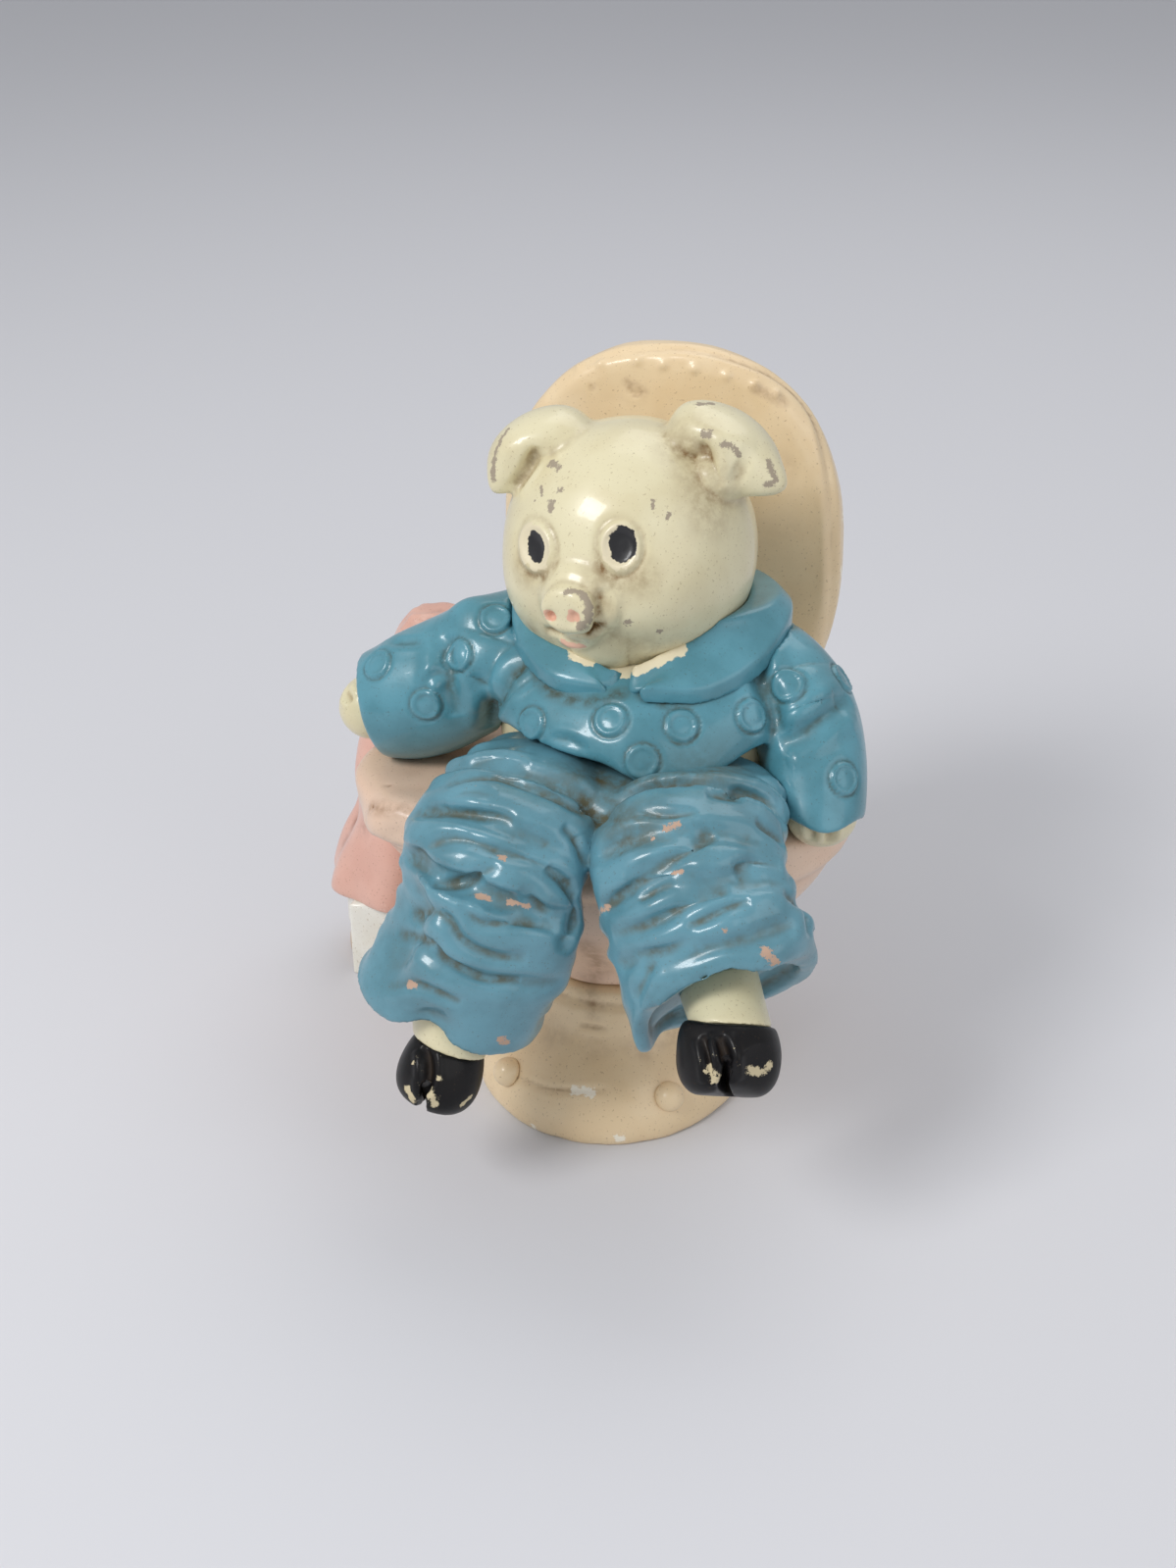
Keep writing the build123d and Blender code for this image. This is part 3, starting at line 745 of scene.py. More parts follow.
EYE_WHITE = paint_colour(226, 214, 182)
BLUSH_PAINT = paint_colour(228, 180, 154)
BLACK_PAINT = paint_colour(20, 19, 22)
SKIN = Finish(
    "skin_cream",
    paint=paint_colour(225, 216, 180),
    tone=paint_colour(219, 208, 170),
    dirt_and_shade=paint_colour(128, 98, 56),
    chip=paint_colour(162, 149, 130),
    dirt_gain=0.6,
    wear_gain=0.12,
    coat=0.38,
)
BLUE = Finish(
    "jacket_blue",
    paint=paint_colour(88, 148, 164),
    tone=paint_colour(74, 132, 146),
    dirt_and_shade=paint_colour(66, 78, 66),
    chip=paint_colour(190, 158, 136),
    dirt_gain=0.7,
    wear_gain=0.3,
)
TROUSER_BLUE = replace(
    BLUE,
    name="trouser_blue",
    paint=paint_colour(97, 148, 164),
    tone=paint_colour(84, 132, 146),
    dirt_and_shade=paint_colour(86, 84, 62),
    dirt_gain=0.8,
)
PEACH = Finish(
    "toilet_peach",
    paint=paint_colour(235, 211, 172),
    tone=paint_colour(231, 205, 164),
    dirt_and_shade=paint_colour(130, 92, 58),
    chip=paint_colour(246, 238, 220),
    dirt_gain=0.8,
    wear_gain=0.3,
    roughness=0.4,
    coat=0.3,
)
BOWL_PINK = replace(
    PEACH,
    name="bowl_pink",
    paint=paint_colour(230, 200, 176),
    tone=paint_colour(226, 194, 169),
)
HOOF = Finish(
    "hoof_black",
    paint=paint_colour(14, 13, 15),
    tone=paint_colour(22, 20, 20),
    dirt_and_shade=paint_colour(66, 52, 38),
    chip=paint_colour(206, 192, 158),
    dirt_gain=0.5,
    wear_gain=0.4,
    roughness=0.4,
    coat=0.08,
    mirror=0.2,
)
TOWEL = Finish(
    "towel_pink",
    paint=paint_colour(226, 178, 160),
    tone=paint_colour(220, 169, 151),
    dirt_and_shade=paint_colour(130, 80, 62),
    chip=paint_colour(238, 206, 192),
    wear_gain=0.5,
)
PAPER = Finish(
    "paper_white",
    paint=paint_colour(238, 236, 226),
    tone=paint_colour(228, 224, 210),
    dirt_and_shade=paint_colour(150, 126, 92),
    chip=paint_colour(206, 196, 180),
)
STAND = Finish(
    "stand_tan",
    paint=paint_colour(190, 154, 108),
    tone=paint_colour(172, 134, 90),
    dirt_and_shade=paint_colour(96, 66, 40),
    chip=paint_colour(226, 204, 170),
)


@dataclass(frozen=True)
class Pattern:
    """A noise on the surface, and the low and high values between which it shows."""

    scale: float
    detail: float
    low: float
    high: float
    roughness: float = 0.55


@dataclass(frozen=True)
class RaggedEdge:
    """A noise about zero that makes the edge of a mask ragged."""

    scale: float
    detail: float
    strength: float
    roughness: float = 0.55
    middle: float = 0.5


class Graph:
    """A short way to add and link shader nodes."""

    def __init__(self, tree: bpy.types.NodeTree) -> None:
        """Starts on a node tree."""
        self.tree = tree

    def feed(self, socket: bpy.types.NodeSocket, value: SocketValue) -> None:
        """Gives an input its value.

        Args:
            socket: the input.
            value: a plain value, or the output socket that is linked to it.
        """
        if isinstance(value, bpy.types.NodeSocket):
            self.tree.links.new(value, socket)
        else:
            socket.default_value = value

    def add(
        self,
        kind: str,
        inputs: dict[Union[str, int], SocketValue],
        **settings: Union[str, bool, bpy.types.NodeTree],
    ) -> bpy.types.Node:
        """Adds a node.

        Args:
            kind: the node's type.
            inputs: values or output sockets by input name or number.
            settings: the node's own settings.
        Returns:
            The node.
        """
        node = self.tree.nodes.new(kind)
        for name, setting in settings.items():
            setattr(node, name, setting)
        for key, value in inputs.items():
            self.feed(node.inputs[key], value)
        return node

    def math(
        self, operation: str, first: SocketValue, second: SocketValue, clamp: bool = False
    ) -> bpy.types.NodeSocket:
        """Adds a sum or product.

        Args:
            operation: the operation.
            first, second: values or sockets.
            clamp: whether the result is kept from 0 to 1.
        Returns:
            The result's socket.
        """
        inputs = {0: first, 1: second}
        return self.add("ShaderNodeMath", inputs, operation=operation, use_clamp=clamp).outputs[0]

    def noise(self, scale: float, detail: float, roughness: float) -> bpy.types.NodeSocket:
        """Adds a noise on object coordinates.

        Args:
            scale: how fine it is, per metre.
            detail: its octaves.
            roughness: how strong the fine octaves are.
        Returns:
            The noise's value.
        """
        places = self.add("ShaderNodeTexCoord", {}).outputs["Object"]
        inputs = {"Vector": places, "Scale": scale, "Detail": detail, "Roughness": roughness}
        return self.add("ShaderNodeTexNoise", inputs).outputs["Fac"]

    def ramp(self, value: SocketValue, low: float, high: float) -> bpy.types.NodeSocket:
        """Stretches a value from low to high onto 0 to 1.

        Args:
            value: the value's socket.
            low, high: the ends.
        Returns:
            The stretched value.
        """
        inputs = {"Value": value, "From Min": low, "From Max": high}
        return self.add("ShaderNodeMapRange", inputs, interpolation_type="SMOOTHSTEP").outputs[0]

    def pattern(self, pattern: Pattern) -> bpy.types.NodeSocket:
        """Returns: the socket of a pattern's value, from 0 to 1."""
        value = self.noise(pattern.scale, pattern.detail, pattern.roughness)
        return self.ramp(value, pattern.low, pattern.high)

    def ragged(self, edge: RaggedEdge) -> bpy.types.NodeSocket:
        """Returns: the socket of a ragged edge's value about zero."""
        value = self.noise(edge.scale, edge.detail, edge.roughness)
        return self.math("MULTIPLY", self.math("SUBTRACT", value, edge.middle), edge.strength)

    def mix(self, share: SocketValue, first: SocketValue, second: SocketValue) -> bpy.types.NodeSocket:
        """Mixes two colours.

        Args:
            share: the second colour's share.
            first, second: colours or sockets.
        Returns:
            The mixed colour.
        """
        node = self.add("ShaderNodeMix", {"Factor": share}, data_type="RGBA")
        sockets = {socket.identifier: socket for socket in (*node.inputs, *node.outputs)}
        self.feed(sockets["A_Color"], first)
        self.feed(sockets["B_Color"], second)
        return sockets["Result_Color"]

    def mask(self, mask: Mask) -> bpy.types.NodeSocket:
        """Returns: the socket of a paint mask's value."""
        return self.add("ShaderNodeAttribute", {}, attribute_name=mask.value).outputs["Fac"]


@dataclass(frozen=True)
class Weathering:
    """The shared effect of uneven paint, dirt, painted shade and chips."""

    tone: Pattern = Pattern(scale=110.0, detail=4.0, low=0.36, high=0.66)
    streaks: Pattern = Pattern(scale=1500.0, detail=3.0, low=0.3, high=0.75)
    specks: Pattern = Pattern(scale=2300.0, detail=2.0, low=0.645, high=0.7)
    blotches: Pattern = Pattern(scale=420.0, detail=5.0, low=0.28, high=0.68, roughness=0.65)
    chip_edge: RaggedEdge = RaggedEdge(scale=900.0, detail=8.0, strength=2.1, roughness=0.78)
    cavity_dirt: float = 1.1
    least_blotch: float = 0.25
    dirt_and_shade_cover: float = 0.78
    chip_low: float = 0.64
    chip_high: float = 0.69
    streak_height: float = 0.18

    def empty_group(self) -> bpy.types.ShaderNodeTree:
        """Makes the group with its sockets alone.

        Returns:
            The group.
        """
        group = bpy.data.node_groups.new("weathering", "ShaderNodeTree")
        sockets = (
            # The Dirt colour is laid both as dirt and as painted shade
            ("INPUT", "NodeSocketColor", ("Paint", "Tone", "Dirt", "Chip")),
            ("INPUT", "NodeSocketFloat", ("Dirt gain", "Wear gain", "Speck gain")),
            ("OUTPUT", "NodeSocketColor", ("Color",)),
            ("OUTPUT", "NodeSocketFloat", ("Dirt and shade mask", "Chip mask", "Height")),
        )
        for side, kind, names in sockets:
            for name in names:
                group.interface.new_socket(name, in_out=side, socket_type=kind)
        return group

    def group(self) -> bpy.types.ShaderNodeTree:
        """Makes the group.

        Returns:
            The group, with a colour, a mask of dirt and painted shade, a chip mask and a height as
            outputs.
        """
        group = self.empty_group()
        graph = Graph(group)
        given = graph.add("NodeGroupInput", {}).outputs
        specks = graph.math("MULTIPLY", graph.pattern(self.specks), given["Speck gain"])
        cavity = graph.math("MULTIPLY", graph.mask(Mask.CAVITY), given["Dirt gain"])
        # Patina in the hollows, plus the shade-and-dirt mask, which is mostly painted shade
        laid = graph.math("ADD", graph.math("MULTIPLY", cavity, self.cavity_dirt), graph.mask(Mask.SHADE_AND_DIRT))
        blotches = graph.math("ADD", graph.pattern(self.blotches), self.least_blotch)
        dirt_and_shade = graph.math("MAXIMUM", graph.math("MULTIPLY", laid, blotches), specks)
        dirt_and_shade = graph.math("MULTIPLY", dirt_and_shade, self.dirt_and_shade_cover, clamp=True)
        worn = graph.math("MULTIPLY", graph.mask(Mask.WEAR), given["Wear gain"])
        bare = graph.math("MAXIMUM", graph.mask(Mask.CHIPS), worn)
        chips = graph.math("ADD", bare, graph.ragged(self.chip_edge))
        chips = graph.ramp(chips, self.chip_low, self.chip_high)
        painted = graph.mix(graph.pattern(self.tone), given["Paint"], given["Tone"])
        shaded_and_dirty = graph.mix(dirt_and_shade, painted, given["Dirt"])
        chipped = graph.mix(chips, shaded_and_dirty, given["Chip"])
        streaks = graph.math("MULTIPLY", graph.pattern(self.streaks), self.streak_height)
        height = graph.math("SUBTRACT", streaks, chips)
        outputs = {"Color": chipped, "Dirt and shade mask": dirt_and_shade, "Chip mask": chips, "Height": height}
        graph.add("NodeGroupOutput", outputs)
        return group


class Painter:
    """Makes the materials from finishes."""

    DETAILS = ((Mask.WHITE, EYE_WHITE), (Mask.BLUSH, BLUSH_PAINT), (Mask.PUPIL, BLACK_PAINT))
    DETAIL_EDGE = RaggedEdge(scale=700.0, detail=3.0, strength=0.7)
    DETAIL_LOW = 0.46
    DETAIL_HIGH = 0.54
    DULL_ROUGHNESS = 0.35
    BUMP_STRENGTH = 0.35
    BUMP_MM = 0.12
    COAT_ROUGHNESS = 0.1
    PAINT_IOR = 1.5

    def __init__(self) -> None:
        """Makes the shared group."""
        self.group = Weathering().group()
        self.made: dict[str, bpy.types.Material] = {}

    def material(self, finish: Finish) -> bpy.types.Material:
        """Gives a finish's material, made once.

        Args:
            finish: the finish.
        Returns:
            The material.
        """
        if finish.name not in self.made:
            self.made[finish.name] = self._make(finish)
        return self.made[finish.name]

    def _make(self, finish: Finish) -> bpy.types.Material:
        """Makes the material of a finish.

        Args:
            finish: the finish.
        Returns:
            The material.
        """
        material = bpy.data.materials.new(finish.name)
        material.use_nodes = True
        material.node_tree.nodes.clear()
        graph = Graph(material.node_tree)
        weather = graph.add("ShaderNodeGroup", {}, node_tree=self.group)
        values = {
            "Paint": finish.paint,
            "Tone": finish.tone,
            "Dirt": finish.dirt_and_shade,
            "Chip": finish.chip,
            "Dirt gain": finish.dirt_gain,
            "Wear gain": finish.wear_gain,
            "Speck gain": finish.speck_gain,
        }
        for name, value in values.items():
            weather.inputs[name].default_value = value
        ragged = graph.ragged(self.DETAIL_EDGE)
        colour = weather.outputs["Color"]
        for mask, paint in self.DETAILS:
            cover = graph.math("ADD", graph.mask(mask), ragged)
            colour = graph.mix(graph.ramp(cover, self.DETAIL_LOW, self.DETAIL_HIGH), colour, paint)
        dull = graph.math("ADD", weather.outputs["Dirt and shade mask"], weather.outputs["Chip mask"], clamp=True)
        roughness = graph.math("ADD", graph.math("MULTIPLY", dull, self.DULL_ROUGHNESS), finish.roughness)
        shine = graph.math("MULTIPLY", graph.math("SUBTRACT", 1.0, dull), finish.coat)
        bump_inputs = {
            "Height": weather.outputs["Height"],
            "Strength": self.BUMP_STRENGTH,
            "Distance": self.BUMP_MM * MM,
        }
        surface_inputs = {
            "Base Color": colour,
            "Roughness": roughness,
            "Normal": graph.add("ShaderNodeBump", bump_inputs).outputs["Normal"],
            "Coat Weight": shine,
            "Coat Roughness": self.COAT_ROUGHNESS,
            "IOR": self.PAINT_IOR,
            "Specular IOR Level": finish.mirror,
        }
        surface = graph.add("ShaderNodeBsdfPrincipled", surface_inputs)
        graph.add("ShaderNodeOutputMaterial", {"Surface": surface.outputs["BSDF"]})
        return material


@dataclass(frozen=True)
class Casting:
    """One sculpted and painted piece that stands for construction nodes."""

    name: str
    nodes: tuple[str, ...]
    slot: str
    finish: Finish
    voxel_mm: float = 0.5
    smoothing: int = 4
    lumps_mm: float = 0.15
    lump_size_mm: float = 7.0
    strokes: Sequence[Brush] = ()
    grabs: Sequence[Grab] = ()
    pads: Sequence[Pad] = ()
    grab_smoothing: int = 6

    def shape(self, sculpt: Sculpt) -> None:
        """Does the work on the surface that is this casting's own, none on a plain one."""

    def mesh(self, frame: dict, seed: float) -> bpy.types.Object:
        """Sculpts the piece.

        Args:
            seed: shifts the lumps of this piece.
        Returns:
            The piece without its paint.
        """
        nodes = [frame["nodes"][node] for node in self.nodes]
        sculpt = Sculpt(nodes, self.voxel_mm, self.smoothing, self.pads)
        for grab in self.grabs:
            grab.apply(sculpt)
        if self.grabs:
            sculpt.smooth(self.grab_smoothing)
        sculpt.settle()
        self.shape(sculpt)
        sculpt.roughen(self.lumps_mm, self.lump_size_mm, seed)
        for stroke in self.strokes:
            stroke.apply(sculpt)
        sculpt.mark_relief()
        return sculpt.make_object(self.name)

    def dress(self, piece: bpy.types.Object, painter: Painter) -> None:
        """Args:
            piece: the piece.
            painter: makes the materials.
        """
        piece.data.materials.append(painter.material(self.finish))
        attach(piece, "root")
        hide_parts(*self.nodes)


@dataclass(frozen=True)
class Eye:
    """An eye: a raised oval rim round a flat pupil, in photo pixels.

    Places and widths of its relief are in half sizes of the oval.
    """

    centre_px: Pixel
    half_width_px: float
    half_height_px: float
    pupil_px: Pixel
    pupil_half_width_px: float
    pupil_half_height_px: float
    tilt: float = 0.0
    reach_mm: float = 12.0
    rim_mm: float = 0.55
    rim_place: float = 0.9
    rim_width: float = 0.17
    moat_place: float = 1.28
    moat_width: float = 0.2
    moat_share: float = 0.45
    pupil_mm: float = 0.35
    pupil_floor: float = 1.6
    pupil_slope: float = 1.4
    pupil_paint: float = 1.5
    white_paint: float = 1.45

    def oval(self, spots: np.ndarray, centre: Pixel, half_width: float, half_height: float) -> np.ndarray:
        """Gives distances from a centre in half sizes of an oval.

        Args:
            spots: pixels of the vertices.
            centre: the oval's centre.
            half_width, half_height: its half sizes.
        Returns:
            The distances, 1 on the oval.
        """
        turn = math.radians(self.tilt)
        across, down = (spots - np.array(centre)).T
        along = across * math.cos(turn) + down * math.sin(turn)
        below = down * math.cos(turn) - across * math.sin(turn)
        return np.hypot(along / half_width, below / half_height)

    def work(self, sculpt: Sculpt) -> None:
        """Models and paints the eye.

        Args:
            sculpt: the head's surface.
        """
        spots = PHOTO.project(sculpt.rest)
        middle = sculpt.hit(PHOTO, self.centre_px)
        near = np.linalg.norm(sculpt.rest - middle, axis=1) < self.reach_mm * MM
        rim = self.oval(spots, self.centre_px, self.half_width_px, self.half_height_px)
        moat = bump((rim - self.moat_place) / self.moat_width) * self.moat_share
        heights = bump((rim - self.rim_place) / self.rim_width) - moat
        sculpt.push(np.where(near, heights, 0) * self.rim_mm * MM)
        pupil = self.oval(spots, self.pupil_px, self.pupil_half_width_px, self.pupil_half_height_px)
        sunk = -np.clip(self.pupil_floor - pupil * self.pupil_slope, 0, 1)
        sculpt.push(np.where(near, sunk, 0) * self.pupil_mm * MM)
        sculpt.mark(Mask.PUPIL, np.where(near, np.clip(self.pupil_paint - pupil, 0, 1), 0))
        sculpt.mark(Mask.WHITE, np.where(near, np.clip(self.white_paint - rim, 0, 1), 0))


@dataclass(frozen=True)
class Head(Casting):
    """The head with its ears and snout, which also has eyes."""

    eyes: tuple[Eye, ...] = ()

    def shape(self, sculpt: Sculpt) -> None:
        """Models the eyes on the surface."""
        for eye in self.eyes:
            eye.work(sculpt)


# Pixel paths on the toilet
FOOT_CHIPS_PX = (((545, 1150), (551, 1154)), ((630, 1160), (634, 1160)), ((585, 1112), (605, 1114)))
FOOT_SCRATCHES_PX = (((520, 1095), (560, 1110), (620, 1112)), ((590, 1045), (620, 1050)))
# A darker stripe down the stem where it meets the foot
FOOT_STEM_DARKENING_PX = (((600, 1000), (605, 1030)),)
BOWL_SIDE_PX = ((380, 788), (388, 830))
BOWL_BELLY_PX = ((388, 815), (392, 835), (402, 870))
RIM_EDGE_PX = ((384, 810), (405, 822), (440, 832))
RIM_JOINT_PX = ((380, 800), (400, 815), (440, 828))
RIM_PITS_PX = ((383, 822), (402, 824), (418, 826), (376, 835), (395, 800))
RIM_DIRT_PX = (((380, 822), (402, 825), (425, 827)),)
# Painted shade on the bowl's front, under the pig's legs
STEM_SHADE_PX = (((598, 965), (610, 985), (600, 1005)),)
LID_BEADS_PX = (
    *((590, 374), (612, 370), (650, 368), (676, 372)),
    *((708, 376), (741, 383), (770, 392), (792, 402)),
)
LID_MOULDING_PX = (
    *((556, 410), (575, 387), (600, 370), (640, 359), (690, 356), (740, 364)),
    *((790, 385), (824, 420), (842, 470), (848, 530), (848, 600), (842, 660)),
)
LID_SCRATCHES_PX = (((640, 395), (648, 402), (655, 398)), ((600, 392), (606, 398)))
LID_CHIPS_PX = (((858, 500), (859, 530)), ((857, 580), (858, 600)), ((856, 630), (856, 645)))
LID_DIRT_PX = (((770, 396), (800, 410)), ((640, 390), (655, 400)))


@dataclass(frozen=True)
class Toilet:
    """The toilet: its foot with bolt caps, its bowl with the seat, and its lid with hinges."""

    slot: str = "peach_glaze"
    cell_mm: float = 0.6
    small_cell_mm: float = 0.3
    small_smoothing: int = 3
    foot_lumps_mm: float = 0.25
    foot_lump_size_mm: float = 6.0
    bowl_smoothing: int = 16
    lumps_mm: float = 0.3
    lump_size_mm: float = 9.0

    def foot(self) -> Casting:
        """Describes the foot.

        Returns:
            Its casting.
        """
        strokes = [
            *daubs(Mask.CHIPS, FOOT_CHIPS_PX, width_mm=0.9),
            *creases(FOOT_SCRATCHES_PX, width_mm=0.6, depth_mm=0.3),
            *daubs(Mask.SHADE_AND_DIRT, FOOT_STEM_DARKENING_PX, width_mm=1.2, strength=0.5),
        ]
        return Casting(
            "foot",
            ("toilet_foot",),
            self.slot,
            PEACH,
            self.cell_mm,
            lumps_mm=self.foot_lumps_mm,
            lump_size_mm=self.foot_lump_size_mm,
            strokes=strokes,
        )

    def small(self, name: str, node: str) -> Casting:
        """Returns: the casting of a small plain piece that stands for one node."""
        return Casting(name, (node,), self.slot, PEACH, self.small_cell_mm, self.small_smoothing)

    def bowl_and_seat(self) -> Casting:
        """Describes the bowl, which runs into the seat.

        Returns:
            Their casting.
        """
        strokes = [
            Swell(BOWL_BELLY_PX, width_mm=5.0, height_mm=2.4),
            Swell(RIM_EDGE_PX, width_mm=1.8, height_mm=1.2),
            Rub(RIM_JOINT_PX, width_mm=4.0, steps=40),
            *swells(RIM_PITS_PX, width_mm=0.55, height_mm=-0.4),
            *daubs(Mask.SHADE_AND_DIRT, RIM_DIRT_PX, width_mm=0.7, strength=0.7),
            *daubs(Mask.SHADE_AND_DIRT, STEM_SHADE_PX, width_mm=1.4, strength=0.6),
        ]
        return Casting(
            "bowl_and_seat",
            ("toilet_bowl", "toilet_seat"),
            self.slot,
            BOWL_PINK,
            self.cell_mm,
            self.bowl_smoothing,
            self.lumps_mm,
            self.lump_size_mm,
            strokes,
            [Grab(BOWL_SIDE_PX, width_mm=8.0, shift_px=(-12, 0))],
        )

    def lid(self) -> Casting:
        """Describes the lid.

        Returns:
            Its casting.
        """
        strokes = [
            *swells(LID_BEADS_PX, width_mm=0.75, height_mm=0.7),
            *creases([LID_MOULDING_PX], width_mm=0.8, depth_mm=0.45),
            *creases(LID_SCRATCHES_PX, width_mm=0.5, depth_mm=0.25),
            *daubs(Mask.CHIPS, LID_CHIPS_PX, width_mm=0.7),
            *daubs(Mask.SHADE_AND_DIRT, LID_DIRT_PX, width_mm=0.6, strength=0.6),
        ]
        return Casting(
            "lid",
            ("toilet_lid",),
            self.slot,
            PEACH,
            self.cell_mm,
            lumps_mm=self.lumps_mm,
            lump_size_mm=self.lump_size_mm,
            strokes=strokes,
        )

    def castings(self) -> list[Casting]:
        """Returns: the toilet's castings in the order that they are built."""
        caps = self.small("bolt_caps", "foot_bolt_caps")
        return [self.foot(), caps, self.bowl_and_seat(), self.lid(), self.small("hinges", "lid_hinges")]


# Pixel paths on the pig
RIGHT_CHEEK_PX = ((527, 612),)
LEFT_CHEEK_PX = ((668, 622),)
CHIN_PX = ((590, 672), (640, 672))
NOSE_BRIDGE_PX = ((596, 560),)
SNOUT_SIDE_PX = ((613, 600), (612, 620), (607, 640))
MOUTH_PX = ((556, 641), (570, 645), (588, 646), (601, 643))
MOUTH_CORNER_PX = ((594, 646), (604, 642), (611, 637))
SMILE_PX = ((614, 641), (640, 653), (662, 659))
LOWER_LIP_PX = ((570, 651), (580, 655), (596, 655), (606, 648))
RIGHT_NOSTRIL_PX = ((562, 627),)
LEFT_NOSTRIL_PX = ((586, 628),)
LEFT_EAR_FOLD_PX = ((716, 448), (721, 465), (730, 483), (738, 496))
LEFT_EAR_EDGE_PX = ((685, 425), (716, 439), (745, 448), (772, 456))
LEFT_EAR_HOLLOW_PX = ((748, 474), (764, 482))
RIGHT_EAR_FOLD_PX = ((546, 455), (541, 475), (528, 497))
LIP_PAINT_PX = (((576, 653), (586, 655), (596, 654)),)
# Painted shade darkening the corner of the mouth
MOUTH_CORNER_SHADE_PX = (((600, 645), (606, 641), (611, 637)),)
FACE_CHIPS_PX = (((562, 472), (570, 478)), ((571, 500),), ((562, 512), (562, 519)), ((641, 632),))
SNOUT_CHIPS_PX = (((577, 603), (590, 604), (598, 614), (599, 630), (592, 639)),)
EAR_AND_CHEEK_CHIPS_PX = (
    ((737, 453), (748, 457), (753, 464)),
    ((718, 443), (724, 444)),
    ((671, 640),),
)
EAR_EDGE_CHIPS_PX = (
    ((784, 472), (790, 490), (781, 494)),
    ((512, 410), (524, 412)),
    ((712, 412), (726, 412)),
    ((502, 488), (503, 468), (510, 450), (516, 440)),
)
BROW_CHIPS_PX = (
    ((552, 495), (553, 505)),
    ((545, 511),),
    ((666, 510), (666, 518)),
    ((682, 524), (680, 530)),
)
# Painted shade in the gap where the left ear meets the head
EAR_ROOT_SHADE_PX = (((700, 455), (712, 480), (722, 520)),)
# Darker patches below the eyes
UNDER_EYE_DARKENING_PX = (((612, 585), (632, 592), (655, 588)), ((535, 580), (550, 585)))
# Painted shade in the crease beside the snout and under its right side
SNOUT_SHADE_PX = (((606, 600), (612, 620), (605, 645)), ((545, 640), (560, 650)))
# Painted shade under the chin and along the smile line
CHIN_SHADE_PX = (((575, 672), (620, 682), (680, 670)), ((640, 652), (670, 655)))
LEFT_FINGERS_PX = (((826, 836), (830, 850), (828, 864)), ((842, 834), (846, 848), (844, 860)))
RIGHT_FINGERS_PX = (((348, 690), (352, 704), (358, 716)), ((352, 672), (358, 684), (364, 694)))
RIGHT_FINGERS_SIDE_PX = (((470, 700), (480, 720), (484, 740)), ((500, 696), (504, 716), (504, 736)))
RIGHT_CLEFT_PX = ((434, 1066), (437, 1092), (433, 1126))
RIGHT_HOOF_CHIPS_PX = (((415, 1110), (420, 1122)), ((439, 1112), (443, 1126)))
RIGHT_HOOF_NICKS_PX = (((422, 1084),), ((447, 1100),), ((480, 1118), (470, 1128)))
LEFT_GROOVE_PX = ((716, 1056), (722, 1080), (725, 1106))
LEFT_CLEFT_PX = ((733, 1056), (741, 1080), (745, 1104))
LEFT_HOOF_CHIPS_PX = (((723, 1090), (728, 1102)), ((764, 1090), (776, 1094), (784, 1086)))

# How the pig's solids are dragged to the photo's outline
HEAD_GRABS = [
    Grab(((786, 482),), width_mm=3.2, shift_px=(13, 11)),
    Grab(((752, 476),), width_mm=3.6, shift_px=(-8, 3)),
    Grab(((505, 490),), width_mm=3.0, shift_px=(-4, 8)),
    Grab(((535, 420),), width_mm=4.0, shift_px=(-3, -4)),
    Grab(((700, 418),), width_mm=4.0, shift_px=(-2, -5)),
    Grab(((590, 668),), width_mm=5.0, shift_px=(2, 5)),
]
LEFT_HAND_GRABS = [Grab(((838, 860),), width_mm=7.0, shift_px=(-4, -14))]
LEFT_HOOF_GRABS = [
    Grab(((778, 1098),), width_mm=4.0, shift_px=(-5, -22)),
    Grab(((748, 1110),), width_mm=3.0, shift_px=(0, -8)),
    Grab(((700, 1052),), width_mm=3.0, shift_px=(-4, -4)),
]

# Clay that fills the hollows of the ears, and the eyes
EAR_PADS = (
    Pad(centre_mm=(17.0, 3.0, 119.0), radii_mm=(4.4, 5.4, 5.4)),
    Pad(centre_mm=(-15.8, 4.0, 116.5), radii_mm=(3.2, 4.6, 4.6)),
)
LEFT_EYE = Eye(
    centre_px=(632, 558),
    half_width_px=20,
    half_height_px=24,
    pupil_px=(635, 556),
    pupil_half_width_px=14.5,
    pupil_half_height_px=18.5,
)
RIGHT_EYE = Eye(
    centre_px=(547, 558),
    half_width_px=15.5,
    half_height_px=25,
    pupil_px=(546, 558),
    pupil_half_width_px=8,
    pupil_half_height_px=16,
    tilt=-8.0,
)


